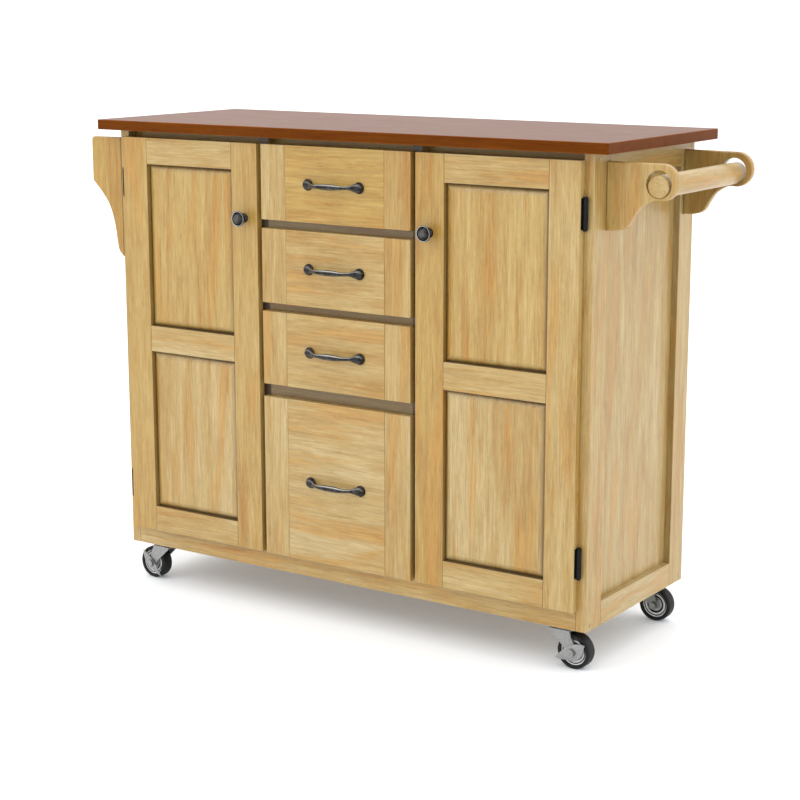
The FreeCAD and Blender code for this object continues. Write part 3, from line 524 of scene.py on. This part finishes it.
door_tones = {"left": (0.80, 0.70, 0.40, 0.80), "right": (0.85, 0.40, 0.15, 0.75)}
for side in ("left", "right"):
    low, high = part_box(f"{side}_door_frame")
    inner = (low.x + door_stile, high.x - door_stile)
    opening = (high.z - low.z - 3 * door_rail) / 2
    rails = [low.z, low.z + door_rail + opening, high.z - door_rail]
    tones = door_tones[side]
    boards = [board(low, (inner[0], high.y, high.z), Z, shaded=[(0.4, 0, 0)], tone=tones[0]),
              board((inner[1], low.y, low.z), high, Z, shaded=[(-0.6, 0, 0)], tone=tones[1])]
    boards += [board((inner[0], low.y, start), (inner[1], high.y, start + door_rail), X,
                     shaded=[(0, 0, 0.8), (0, 0, -1)], tone=0.4) for start in rails]
    wooden_piece(f"{side}_door_boards", boards, natural, f"{side}_door", "natural_wood",
                 f"{side}_door_frame")
    edge_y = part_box(f"{side}_door_panels")[0].y + panel_rise
    panels = [raised_panel(inner, (start + door_rail, start + door_rail + opening), edge_y, tone)
              for start, tone in zip(rails[:2], tones[2:])]
    piece = wooden_piece(f"{side}_raised_panels", panels, natural_strips, f"{side}_door",
                         "natural_wood", f"{side}_door_panels")
    piece.data.shade_flat()

# Door knobs. Turned and plated brass in a dark antique finish: a round base, a waisted neck and
# a dished head with a raised bright rim round a low dome. One screw holds each from behind.


def section(rows):
    """A profile of (radius, distance) points, which may add how much painted highlight and how
    much painted shade (in a groove) each has, as an array of four columns."""
    return np.array([(*row, 0, 0)[:4] for row in rows], float)


def swept(profile, centre, axis, around):
    """A profile carried round an axis, and its marks.

    The point at angle a is centre + distance along the axis + radius times (cos a, sin a) in
    the plane across it."""
    first = np.cross(axis, (0, 0, 1))
    first /= np.linalg.norm(first)
    second = np.cross(axis, first)
    angle = np.linspace(0, 2 * math.pi, around, endpoint=False)
    spoke = np.cos(angle)[:, None] * first + np.sin(angle)[:, None] * second
    points = (np.array(centre) + profile[:, 1, None, None] * axis
              + profile[:, 0, None, None] * spoke[None])
    return points.reshape(-1, 3), np.repeat(profile[:, 2:], around, axis=0)


def turned(rows, centre, axis, around=48):
    """A solid turned from a profile whose first and last radius are 0, each a single point."""
    profile, axis = section(rows), np.array(axis, float)
    points, marks = swept(profile[1:-1], centre, axis, around)
    index, after, quads = ring_grid(len(profile) - 2, around)
    poles = np.array(centre) + profile[[0, -1], 1, None] * axis
    bottom, top = len(points), len(points) + 1
    caps = [[bottom, after[0, step], index[0, step]] for step in range(around)]
    caps += [[top, index[-1, step], after[-1, step]] for step in range(around)]
    return (np.concatenate([points, poles]), quads.tolist() + caps,
            np.concatenate([marks, profile[[0, -1], 2:]]))


def metal_piece(name, parts, finish, body, slot, *cad_nodes, crease=35):
    """Joins (points, faces, marks) into one smooth piece, edges kept past crease degrees."""
    mesh = joined_mesh(name, [(points, faces) for points, faces, _ in parts])
    marks = np.concatenate([marks for _, _, marks in parts])
    for key, values in zip(("painted_highlight", "groove"), marks.T):
        store(mesh, key, values)
    mesh.set_sharp_from_angle(angle=math.radians(crease))
    fitted(name, mesh, finish, body, cad_nodes)


def metal_finish(name, base, bright, metallic=1.0, rough=0.3, wear=0.5, scale=160.0):
    """Metal with a mottled skin: bright shows through base by noise and, as a painted highlight,
    by the highlight attribute; the groove attribute blackens it with painted shade; roughness
    follows the noise."""
    finish, shader, node, join = bare_finish(name)
    place = node("TexCoord").outputs["Object"]
    cloud = node("TexNoise", {"Vector": place, "Scale": scale, "Detail": 5.0,
                              "Roughness": 0.6}).outputs["Fac"]
    speck = node("TexNoise", {"Vector": place, "Scale": scale * 9, "Detail": 2.0}).outputs["Fac"]
    painted_highlight = node("Attribute", attribute_name="painted_highlight").outputs["Fac"]
    groove = node("Attribute", attribute_name="groove").outputs["Fac"]
    share = node("Math", {0: rescaled(node, cloud, (0.38, 0.68), (0.0, wear)), 1: painted_highlight},
                 operation="ADD", use_clamp=True)
    colour = mixed(node, share.outputs[0], base, bright)
    join(mixed(node, groove, colour, (0.004, 0.004, 0.004)), shader.inputs["Base Color"])
    join(rescaled(node, speck, (0.3, 0.7), (rough - 0.06, rough + 0.10)),
         shader.inputs["Roughness"])
    bump = node("Bump", {"Height": speck, "Strength": 0.08, "Distance": 0.0003})
    join(bump.outputs[0], shader.inputs["Normal"])
    shader.inputs["Metallic"].default_value = metallic
    return finish


pewter = metal_finish("antique_pewter", (0.013, 0.013, 0.012), (0.60, 0.58, 0.54), rough=0.22,
                      wear=0.08)
# In the knob's profile the third number is painted highlight, bright on the rim's crest, and the
# fourth painted shade, under the head and in the ring inside the rim.
knob_base = [(0, 0), (0.0080, 0), (0.0086, 0.0006), (0.0086, 0.0022), (0.0076, 0.0031),
             (0.0060, 0.0042), (0.0053, 0.0065)]
knob_neck = [(0.0052, 0.0090, 0, 0.3), (0.0058, 0.0118, 0, 0.5), (0.0080, 0.0142, 0, 0.6),
             (0.0115, 0.0160, 0, 0.4), (0.0138, 0.0172, 0, 0.2), (0.0146, 0.0186)]
knob_rim = [(0.0147, 0.0199), (0.0144, 0.0208, 0.05), (0.0137, 0.0213, 0.45),
            (0.0130, 0.0212, 0.55), (0.0124, 0.0205, 0.25)]
knob_dome = [(0.0117, 0.0198, 0, 0.9), (0.0108, 0.0202, 0, 0.7), (0.0098, 0.0216, 0, 0.1),
             (0.0080, 0.0231, 0.02), (0.0055, 0.0242, 0.05), (0.0028, 0.0248, 0.10),
             (0.0010, 0.02498, 0.12), (0, 0.0250, 0.12)]
knob_profile = knob_base + knob_neck + knob_rim + knob_dome
for side in ("left", "right"):
    low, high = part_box(f"{side}_door_knob")
    centre = ((low.x + high.x) / 2, high.y, (low.z + high.z) / 2)
    metal_piece(f"{side}_knob", [turned(knob_profile, centre, (0, -1, 0))], pewter,
                f"{side}_door", "pewter", f"{side}_door_knob", crease=50)

# Hinges. Plain butt hinges in black enamelled steel, two to a door. The barrel of three
# knuckles stands in the corner beside the door's edge, with a pin through it.

black = metal_finish("black_enamel", (0.004, 0.004, 0.004), (0.012, 0.012, 0.012),
                     metallic=0.0, rough=0.45, wear=0.6)
black.node_tree.nodes["Principled BSDF"].inputs["Specular IOR Level"].default_value = 0.15


def refinish(finish, *names):
    """Gives CAD nodes whose shape is right a better finish."""
    for name in names:
        nodes[name].data.materials.clear()
        nodes[name].data.materials.append(finish)


refinish(black, "left_door_hinge_leaves", "right_door_hinge_leaves", "cabinet_hinge_leaves",
         "hinge_pins", "door_catches")

# Drawers. A front of one wide board between two upright end boards, on a box of plain boards
# with a thin bottom and a groove in each side that slides on its runner.

end_board = 0.055
box_wall = 0.012
bottom_inset = 0.008
bottom_thickness = 0.005
groove_depth = 0.0055
groove_gap = 0.0005
# The middle boards' tones fall from amber in the top drawer to pale in the bottom one: besides the
# boards' own colour, this is painted shade under the slab and painted light from the floor.
front_tones = ((0.30, 1.00, 0.60), (0.50, 0.45, 0.60), (0.45, 0.50, 0.45), (0.35, 0.10, 0.35))
for number, (low, high), tones in zip((1, 2, 3, 4), drawer_front_boxes, front_tones):
    left, right = low.x + end_board, high.x - end_board
    boards = [board(low, (left, high.y, high.z), Z, tone=tones[0]),
              board((left, low.y, low.z), (right, high.y, high.z), X, tone=tones[1]),
              board((right, low.y, low.z), high, Z, tone=tones[2])]
    wooden_piece(f"drawer_{number}_face", boards, natural, f"drawer_{number}", "natural_wood",
                 f"drawer_{number}_front")
    low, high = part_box(f"drawer_{number}_box")
    groove = (high.z - runner_drop - runner_height - groove_gap,
              high.z - runner_drop + groove_gap)
    boards = []
    for outer, inner in ((low.x, low.x + box_wall), (high.x, high.x - box_wall)):
        web = outer + math.copysign(groove_depth, inner - outer)
        west, east = sorted((outer, inner))
        web_west, web_east = sorted((web, inner))
        boards += [board((west, low.y, low.z), (east, high.y, groove[0]), Y),
                   board((west, low.y, groove[1]), (east, high.y, high.z), Y),
                   board((web_west, low.y, groove[0]), (web_east, high.y, groove[1]), Y, 0.0002),
                   board((west, low.y, groove[0]), (east, low.y + box_wall, groove[1]), Y,
                         0.0002)]
    inner = (low.x + box_wall, high.x - box_wall)
    boards += [board((inner[0], low.y, low.z), (inner[1], low.y + box_wall, high.z), X),
               board((inner[0], high.y - box_wall, low.z), (inner[1], high.y, high.z), X),
               board((inner[0], low.y + box_wall, low.z + bottom_inset),
                     (inner[1], high.y - box_wall, low.z + bottom_inset + bottom_thickness), X,
                     0.0003)]
    wooden_piece(f"drawer_{number}_boards", boards, plain, f"drawer_{number}", "inner_board",
                 f"drawer_{number}_box")

# Drawer pulls. Cast in the same dark pewter finish: two round feet, each flowing through a
# flared spoon into a bar that thins and then swells to its middle.

pull_half = 0.056
spoon_end = 0.0085
bar_half_depth = 0.0043
rise_at_feet = 0.0045


def smooth(start, end, value):
    """Rises from 0 at start to 1 at end along an S curve."""
    share = np.clip((value - start) / (end - start), 0, 1)
    return share * share * (3 - 2 * share)


def drawn_bar(centre, x, rise, tall, deep, around=28):
    """A bar as ellipses in planes across X, from its left end to its right.

    The ellipse at x stands rise in front of centre, and has half axes tall, upwards, and deep,
    forwards. A painted highlight lies along its upper front and, weaker, its lower front: each
    band's strength is exp of minus the squared angle from its middle over its width, fading
    towards the feet."""
    angle = np.linspace(0, 2 * math.pi, around, endpoint=False)
    points = np.stack([centre[0] + x[:, None] + 0 * angle,
                       centre[1] - rise[:, None] - deep[:, None] * np.cos(angle),
                       centre[2] + tall[:, None] * np.sin(angle)], axis=-1)
    index, _, quads = ring_grid(len(x), around)
    faces = quads[:, [0, 3, 2, 1]].tolist() + [index[0].tolist(), index[-1, ::-1].tolist()]
    bend = (angle + math.pi) % (2 * math.pi) - math.pi
    painted_highlight = (0.60 * np.exp(-((bend - 0.80) / 0.26) ** 2)
              + 0.16 * np.exp(-((bend + 0.95) / 0.40) ** 2))
    painted_highlight = painted_highlight * (1 - 0.7 * smooth(0.034, 0.052, np.abs(x)))[:, None]
    marks = np.stack([painted_highlight.ravel(), np.zeros(painted_highlight.size)], axis=1)
    return points.reshape(-1, 3), faces, marks


foot_profile = [(0, 0), (0.0098, 0), (0.0104, 0.0006), (0.0104, 0.0024), (0.0096, 0.0036),
                (0.0080, 0.0044), (0.0052, 0.0050), (0.0020, 0.0052), (0, 0.0052)]
for number in (1, 2, 3, 4):
    low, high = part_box(f"drawer_{number}_pull")
    centre = ((low.x + high.x) / 2, high.y, (low.z + high.z) / 2)
    x = (pull_half + spoon_end) * np.sin(np.linspace(-math.pi / 2, math.pi / 2, 81))
    near = np.abs(x)
    closing = np.sqrt(np.clip(1 - (np.maximum(near - pull_half, 0) / spoon_end) ** 2, 1e-4, 1))
    tall = (0.0034 + 0.0021 * (1 - smooth(0.006, 0.036, near))
            + 0.0051 * smooth(0.038, pull_half, near)) * closing
    deep = (0.0030 + 0.0012 * (1 - smooth(0.006, 0.036, near))
            + 0.0022 * smooth(0.040, pull_half, near)) * closing
    reach = high.y - low.y - bar_half_depth
    arch = 1 - smooth(0.026, pull_half + 0.001, near)
    rise = rise_at_feet + (reach - rise_at_feet) * arch
    feet = [turned(foot_profile, (centre[0] + side * pull_half, centre[1], centre[2]),
                   (0, -1, 0), 32) for side in (-1, 1)]
    metal_piece(f"pull_{number}", [drawn_bar(centre, x, rise, tall, deep)] + feet, pewter,
                f"drawer_{number}", "pewter", f"drawer_{number}_pull", crease=60)

# Towel bar. A plain turned dowel that lies loose in the round holes of two shaped brackets,
# 13 mm thick, whose edges are rounded over all the way round. The brackets are screwed on from
# inside the cabinet.

bracket_thickness = 0.013
edge_round = 0.0028


def outline_through(runs, spacing=0.0015):
    """One closed outline from runs of points, each a smooth curve, sampled at even spacing.

    A run of two points is a straight edge; a longer one is a Catmull-Rom curve through its
    points: the cubic whose slope at each point is half the step between its neighbours."""
    pieces = []
    for run in runs:
        run = np.array(run, float)
        if len(run) == 2:
            count = max(2, int(np.linalg.norm(run[1] - run[0]) / spacing))
            share = np.linspace(0, 1, count, endpoint=False)[:, None]
            pieces.append(run[0] * (1 - share) + run[1] * share)
            continue
        padded = np.concatenate([[2 * run[0] - run[1]], run, [2 * run[-1] - run[-2]]])
        for p0, p1, p2, p3 in zip(padded, padded[1:], padded[2:], padded[3:]):
            count = max(2, int(np.linalg.norm(p2 - p1) / spacing))
            t = np.linspace(0, 1, count, endpoint=False)[:, None]
            pieces.append(p1 + 0.5 * t * (p2 - p0 + t * (2 * p0 - 5 * p1 + 4 * p2 - p3
                                                         + t * (3 * (p1 - p2) + p3 - p0))))
    return np.concatenate(pieces)


def face_between(outer, inner):
    """Triangles that fill the flat face between two rings of points, numbered through both."""
    rings = [[Vector((u, w, 0)) for u, w in ring] for ring in (outer, inner)]
    triangles = np.array(tessellate_polygon(rings))
    first, second, third = np.concatenate([outer, inner])[triangles].transpose(1, 2, 0)
    area = ((second[0] - first[0]) * (third[1] - first[1])
            - (second[1] - first[1]) * (third[0] - first[0]))
    return np.where(area[:, None] < 0, triangles[:, ::-1], triangles)


def shaped_board(outline, y, hole=None, steps=4, rounding=edge_round, rim=0.0005):
    """A board sawn to an outline (x, z, anticlockwise seen from the front), edges rounded over.

    From front to back the outline draws in by rounding times (1 - sin t) while y moves rounding
    times (1 - cos t). A hole (x, z, radius) is a ring of its own, whose edge is rounded the same
    way by rim, and triangles fill the two flat faces between them."""
    lean = rounded_run(*y, rounding, steps)[2]
    sides = np.sqrt(1 - lean ** 2)

    def wall(ring, outward, amount, way):
        """The ring carried from the front face to the back one, rounded by amount."""
        depth = rounded_run(*y, amount, steps)[0]
        flat = ring[None] - outward[None] * (amount * (1 - sides))[:, None, None]
        points = np.stack([flat[..., 0], depth[:, None] + 0 * flat[..., 0], flat[..., 1]], -1)
        normals = np.stack([outward[None, :, 0] * sides[:, None], lean[:, None] + 0 * flat[..., 0],
                            outward[None, :, 1] * sides[:, None]], -1)
        index = np.arange(points.shape[0] * len(ring)).reshape(-1, len(ring))
        after = np.roll(index, -way, axis=1)
        quads = np.stack([index[:-1], index[1:], after[1:], after[:-1]], -1).reshape(-1, 4)
        return points.reshape(-1, 3), normals.reshape(-1, 3), index, quads.tolist()

    edge = np.roll(outline, -1, axis=0) - np.roll(outline, 1, axis=0)
    edge /= np.linalg.norm(edge, axis=1, keepdims=True)
    outward = np.stack([edge[:, 1], -edge[:, 0]], axis=1)
    points, normals, index, faces = wall(outline, outward, rounding, 1)
    round_over = np.abs(np.sin(2 * np.arcsin(sides)))
    arris = np.repeat(round_over, len(outline))
    if hole is None:
        faces += [index[0].tolist(), index[-1, ::-1].tolist()]
    else:
        angle = np.linspace(0, 2 * math.pi, 64, endpoint=False)
        spoke = np.stack([np.cos(angle), np.sin(angle)], axis=1)
        ring = np.array(hole[:2]) + hole[2] * spoke
        inner_points, inner_normals, inner_index, inner_faces = wall(ring, -spoke, rim, -1)
        start = len(points)
        both = np.concatenate([points, inner_points])[:, [0, 2]]
        faces += [[corner + start for corner in face] for face in inner_faces]
        for row, order in ((0, 1), (-1, -1)):
            rings = index[row], inner_index[row] + start
            names = np.concatenate(rings)
            faces += names[face_between(both[rings[0]], both[rings[1]])[:, ::order]].tolist()
        points = np.concatenate([points, inner_points])
        normals = np.concatenate([normals, inner_normals])
        arris = np.concatenate([arris, np.repeat(round_over, len(angle))])
    return {"points": points, "normals": normals, "faces": faces, "arris": arris * 0.6,
            "grain": points[:, [Z, X, Y]] + place_in_log(),
            "tone": np.full(len(points), rng.uniform(0.2, 1))}


low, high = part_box("towel_bar_brackets")
bar_low, bar_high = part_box("towel_bar")
bar_radius = (bar_high.x - bar_low.x) / 2
bar_x = (bar_low.x + bar_high.x) / 2
hole_radius = 0.023
bar_clearance = 0.0003
hole_z = bar_low.z - bar_clearance + hole_radius
nose = 0.0305
nose_start = -1.742
base, foot = low.x, low.z
reach, tall = high.x - low.x, high.z - low.z
nose_x, nose_z = high.x - nose, high.z - nose
sweep = np.linspace(nose_start, math.pi / 2, 60)
nose_arc = np.stack([nose_x + nose * np.cos(sweep), nose_z + nose * np.sin(sweep)], axis=1)
underside = [(0, 0), (0.146, 0.009), (0.254, 0.038), (0.323, 0.091), (0.385, 0.209),
             (0.454, 0.326), (0.515, 0.387), (0.638, 0.464)]
underside = [(base + u * reach, foot + w * tall) for u, w in underside] + [tuple(nose_arc[0])]
top_left = (base, high.z)
bracket = np.concatenate([outline_through([underside]), nose_arc[:-1],
                          outline_through([[tuple(nose_arc[-1]), top_left],
                                           [top_left, (base, foot)]])])
boards = [shaped_board(bracket, (start, start + bracket_thickness), (bar_x, hole_z, hole_radius))
          for start in (low.y, high.y - bracket_thickness)]
for item in boards:
    item["tone"][:] = 0.7
# The rear bracket's front face is painted darker: painted shade.
boards[1]["painted_shade_and_joint"] = 0.35 * np.clip(-boards[1]["normals"][:, Y], 0, 1)
wooden_piece("bar_brackets", boards, natural, "cabinet", "natural_wood", "towel_bar_brackets")


def dowel(radius, centre, y, ease):
    """A round bar along Y with its ends rounded over by ease, and grain along it."""
    turn = np.linspace(0, math.pi / 2, 5)
    profile = [(0, 0)] + [(radius - ease + ease * math.sin(t), ease * (1 - math.cos(t)))
                          for t in turn]
    length = y[1] - y[0]
    profile += [(r, length - distance) for r, distance in profile[::-1]]
    points, faces, _ = turned(profile, (centre[0], y[0], centre[1]), (0, 1, 0), 56)
    return {"points": points, "faces": faces, "grain": points[:, [Y, X, Z]] + place_in_log(),
            "tone": np.full(len(points), 0.35)}


def round_piece(name, parts, finish, body, slot, *cad_nodes):
    """A wooden piece of round bars: smooth along, sharp only where the ends are flat."""
    piece = wooden_piece(name, parts, finish, body, slot, *cad_nodes)
    piece.data.set_sharp_from_angle(angle=math.radians(40))


round_piece("towel_dowel", [dowel(bar_radius, (bar_x, (bar_low.z + bar_high.z) / 2),
                                  (bar_low.y, bar_high.y), 0.0035)],
            natural, "towel_bar", "natural_wood", "towel_bar")

# Jar rack. Two shaped sides carry a shelf and two thin dowels that keep the jars in. Its sides
# sweep in to a narrow foot.

rack_thickness = 0.015
rack_corner = 0.007
low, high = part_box("rack_sides")
reach, tall = high.x - low.x, high.z - low.z
sweep = [(1.0, 0.639), (0.961, 0.617), (0.697, 0.53), (0.493, 0.443), (0.382, 0.363),
         (0.289, 0.252), (0.23, 0.122), (0.178, 0.048), (0.047, 0)]
sweep = [(high.x - u * reach, low.z + w * tall) for u, w in sweep]
corner = np.linspace(math.pi / 2, math.pi, 8)
corner = np.stack([low.x + rack_corner + rack_corner * np.cos(corner),
                   high.z - rack_corner + rack_corner * np.sin(corner)], axis=1)
rack_outline = np.concatenate([outline_through([[(high.x, low.z), (high.x, high.z)],
                                                [(high.x, high.z), tuple(corner[0])]]),
                               corner[:-1],
                               outline_through([[tuple(corner[-1]), sweep[0]], sweep,
                                                [sweep[-1], (high.x, low.z)]])])
boards = [shaped_board(rack_outline, (start, start + rack_thickness), rounding=0.0018)
          for start in (low.y, high.y - rack_thickness)]
for item in boards:
    item["tone"][:] = 1.0
wooden_piece("rack_side_boards", boards, natural, "cabinet", "natural_wood", "rack_sides")
single("rack_shelf", Y, natural)
low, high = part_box("rack_rails")
rail_radius = (high.x - low.x) / 2
rails = [dowel(rail_radius, (low.x + rail_radius, height), (low.y, high.y), 0.001)
         for height in (low.z + rail_radius, high.z - rail_radius)]
round_piece("rack_dowels", rails, natural, "cabinet", "natural_wood", "rack_rails")

# Screw plugs and shelf pins. Small turned caps over the screws that hold the rails to the side
# frames, and steel pins that the shelves rest on.

plug_radius = 0.004
plug_height = 0.001
plug_profile = [(0, 0), (0.0036, 0), (0.0039, 0.0003), (0.0036, 0.0008), (0.0022, plug_height),
                (0, plug_height)]
low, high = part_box("screw_plugs")
# Every point of a cap is marked as arris, so the caps take the light edge colour: a painted
# highlight.
parts = []
for x, way in ((low.x + plug_height, -1), (high.x - plug_height, 1)):
    for y in (low.y + plug_radius, high.y - plug_radius):
        for z in (low.z + plug_radius, high.z - plug_radius):
            points, faces, _ = turned(plug_profile, (x, y, z), (way, 0, 0), 24)
            parts.append({"points": points, "faces": faces, "grain": points + place_in_log(),
                          "arris": np.full(len(points), 0.9), "tone": np.full(len(points), 0.1)})
round_piece("plug_caps", parts, natural, "cabinet", "natural_wood", "screw_plugs")

zinc = metal_finish("zinc_plate", (0.24, 0.245, 0.24), (0.40, 0.405, 0.40), rough=0.36, wear=0.8,
                    scale=420.0, metallic=0.85)
refinish(zinc, "shelf_pins")

# Casters. Pressed zinc-plated plates and forks. Each wheel is a moulded silver-grey hub with two
# deep grooves, a black rubber tyre pressed on it, and in front a stamped pedal on the axle.

rubber_finish, shader, node, join = bare_finish("tyre_rubber")
place = node("TexCoord").outputs["Object"]
dust = node("TexNoise", {"Vector": place, "Scale": 120.0, "Detail": 4.0}).outputs["Fac"]
join(ramp(node, dust, [(0.35, (0.003, 0.003, 0.003)), (0.75, (0.010, 0.010, 0.010))]),
     shader.inputs["Base Color"])
join(rescaled(node, dust, (0.3, 0.7), (0.45, 0.62)), shader.inputs["Roughness"])
shader.inputs["Specular IOR Level"].default_value = 0.25
silver = metal_finish("hub_silver", (0.42, 0.43, 0.43), (0.78, 0.79, 0.79), metallic=0.6,
                      rough=0.32, wear=0.4)


def hoop(rows, centre, axis, around=72):
    """A closed loop carried round an axis: a bored ring. It runs along the axis outside and
    back inside."""
    points, marks = swept(section(rows), centre, axis, around)
    index, after, _ = ring_grid(len(rows), around)
    above, above_after = np.roll(index, -1, axis=0), np.roll(after, -1, axis=0)
    faces = np.stack([index, after, above_after, above], axis=-1)
    return points, faces.reshape(-1, 4).tolist(), marks


def mirrored_loop(half):
    """A wheel's section from its left half, listed from the bore outwards."""
    return np.concatenate([section(half), section(half[::-1]) * (1, -1, 1, 1)])


tyre_half = [(0.0245, -0.0085), (0.0247, -0.0112), (0.0254, -0.0118), (0.0268, -0.0120),
             (0.0286, -0.0120), (0.0299, -0.0116), (0.0309, -0.0107), (0.0315, -0.0093),
             (0.03175, -0.0075), (0.03175, -0.0012)]
# In the hub's profile the fourth number is painted shade, black down its two grooves and beside
# the boss, and the third a painted highlight on the ring between the grooves and on the rim.
hub_boss = [(0.0045, -0.0130), (0.0076, -0.0130), (0.0080, -0.0126), (0.0080, -0.0074, 0, 0.4),
            (0.0130, -0.0074), (0.0133, -0.0071)]
hub_grooves = [(0.0134, -0.0068, 0, 1), (0.0136, -0.0035, 0, 1), (0.0166, -0.0035, 0, 1),
               (0.0168, -0.0078, 0, 1), (0.0169, -0.0082, 0.3), (0.0176, -0.0085, 0.5),
               (0.0202, -0.0085, 0.3), (0.0206, -0.0083), (0.0207, -0.0079, 0, 1),
               (0.0208, -0.0040, 0, 1), (0.0225, -0.0040, 0, 1), (0.0226, -0.0079, 0, 1)]
hub_rim = [(0.0227, -0.0083, 0.5), (0.0231, -0.0085, 1), (0.0245, -0.0085, 1)]
hub_half = hub_boss + hub_grooves + hub_rim
pedal_upper = [(0.0310, 0.0040), (0.0220, 0.0092), (0.0080, 0.0125), (-0.0080, 0.0118),
               (-0.0230, 0.0072), (-0.0360, 0.0030)]
pedal_lower = [(-0.0360, 0.0030), (-0.0250, -0.0045), (-0.0150, -0.0085), (-0.0080, -0.0138),
               (0.0000, -0.0158), (0.0100, -0.0145), (0.0200, -0.0085), (0.0262, -0.0010),
               (0.0310, 0.0040)]
pedal_inner, pedal_outer = 0.0163, 0.0183
pedal_bore = 0.0045
# The washer's sides are painted black, painted shade round it, and its face carries a painted
# highlight; the pedal plate's rounded edges carry a painted highlight as well.
washer = [(0.0082, pedal_outer - 0.0002, 0, 1), (0.0082, pedal_outer + 0.0004, 0, 1),
          (0.0078, pedal_outer + 0.0007, 0.4), (0.0071, pedal_outer + 0.0007, 0.4),
          (0.0067, pedal_outer + 0.0004, 0, 1), (0.0064, pedal_outer - 0.0002, 0, 1)]
tilts = {"front_left": 45, "front_right": 27}
slimming = {"front_left": 0.62, "front_right": 1.0}
spins = {joint["name"]: joint for joint in frame["joints"]}
for corner in ("front_left", "front_right", "rear_left", "rear_right"):
    spin = spins[f"{corner}_wheel_spin"]
    centre, axle = np.array(spin["pos_m"], float), np.array(spin["axis"], float)
    metal_piece(f"{corner}_rubber", [hoop(mirrored_loop(tyre_half), centre, axle)],
                rubber_finish, f"{corner}_wheel", "tyre", f"{corner}_tyre", crease=60)
    metal_piece(f"{corner}_wheel_hub", [hoop(mirrored_loop(hub_half), centre, axle)],
                silver, f"{corner}_wheel", "hub", f"{corner}_hub", crease=40)
    if corner in tilts:
        way = -1 if axle[Y] > 0 else 1
        faces_y = sorted((way * pedal_inner, way * pedal_outer))
        tilt = math.radians(tilts[corner])
        outline = outline_through([pedal_upper, pedal_lower], 0.0012)
        outline[:, 1] *= slimming[corner]
        outline = outline @ np.array([[math.cos(tilt), math.sin(tilt)],
                                      [-math.sin(tilt), math.cos(tilt)]])
        plate = shaped_board(outline, faces_y, (0, 0, pedal_bore), 2, 0.0004, 0.0003)
        trail = np.cross(axle, (0, 0, 1))
        turn = np.stack([trail, axle, (0, 0, 1)])
        metal_piece(f"{corner}_pedal_plate",
                    [(plate["points"] @ turn + centre, plate["faces"],
                      np.stack([plate["arris"], 0 * plate["arris"]], axis=1)),
                     hoop(washer, centre, axle * way, 40)],
                    zinc, f"{corner}_pedal", "zinc", f"{corner}_brake_pedal", crease=30)
refinish(zinc, *[name for name in nodes if name.endswith(("_fork", "_plates"))])

# The studio: a wide pale floor under a bright white surround, a large soft lamp at the front
# left, a larger one overhead, and a small one at the front left for highlights on the metal.

floor_size = 60.0
floor_mesh = bpy.data.meshes.new("studio_floor")
floor_mesh.from_pydata([(-floor_size, -floor_size, 0), (floor_size, -floor_size, 0),
                        (floor_size, floor_size, 0), (-floor_size, floor_size, 0)], [],
                       [(0, 1, 2, 3)])
floor = bpy.data.objects.new("studio_floor", floor_mesh)
bpy.context.scene.collection.objects.link(floor)
floor_finish, shader, node, join = bare_finish("studio_floor")
shader.inputs["Base Color"].default_value = (0.9, 0.9, 0.9, 1)
shader.inputs["Roughness"].default_value = 0.9
shader.inputs["Specular IOR Level"].default_value = 0.1
shader.inputs["Emission Color"].default_value = (0.66, 0.82, 1.0, 1)
shader.inputs["Emission Strength"].default_value = 0.10
floor_mesh.materials.append(floor_finish)


def lamp(name, place, target, size, power):
    """A rectangular area lamp at a place, turned to face its target."""
    light = bpy.data.lights.new(name, "AREA")
    light.shape = "RECTANGLE"
    light.size, light.size_y = size
    light.energy = power
    item = bpy.data.objects.new(name, light)
    bpy.context.scene.collection.objects.link(item)
    item.location = place
    item.rotation_euler = (Vector(target) - Vector(place)).to_track_quat("-Z", "Y").to_euler()


lamp("key", (-2.2, -3.0, 3.2), (0, 0, 0.5), (2.4, 2.4), 12)
lamp("over", (0.0, 0.2, 3.6), (0, 0, 0.0), (3.0, 3.0), 20)
lamp("glint", (-1.6, -3.2, 2.8), (0, 0, 0.6), (0.4, 0.4), 5)
world = bpy.data.worlds.new("surround")
world.use_nodes = True
sky = world.node_tree.nodes["Background"]
sky.inputs["Color"].default_value = (1, 1, 1, 1)
sky.inputs["Strength"].default_value = 1.5
bpy.context.scene.world = world

# The camera: a long lens, to the right of the front and a little above the top.

camera = bpy.data.cameras.new("camera")
camera.lens = 85.07
camera.sensor_width = 36.0
camera_object = bpy.data.objects.new("camera", camera)
bpy.context.scene.collection.objects.link(camera_object)
camera_object.location = (1.950728, -2.923743, 1.148155)
camera_object.rotation_euler = (math.radians(90 - 12.0431), math.radians(0.0466),
                                math.radians(33.8987))
bpy.context.scene.camera = camera_object
bpy.context.scene.view_settings.view_transform = "Standard"
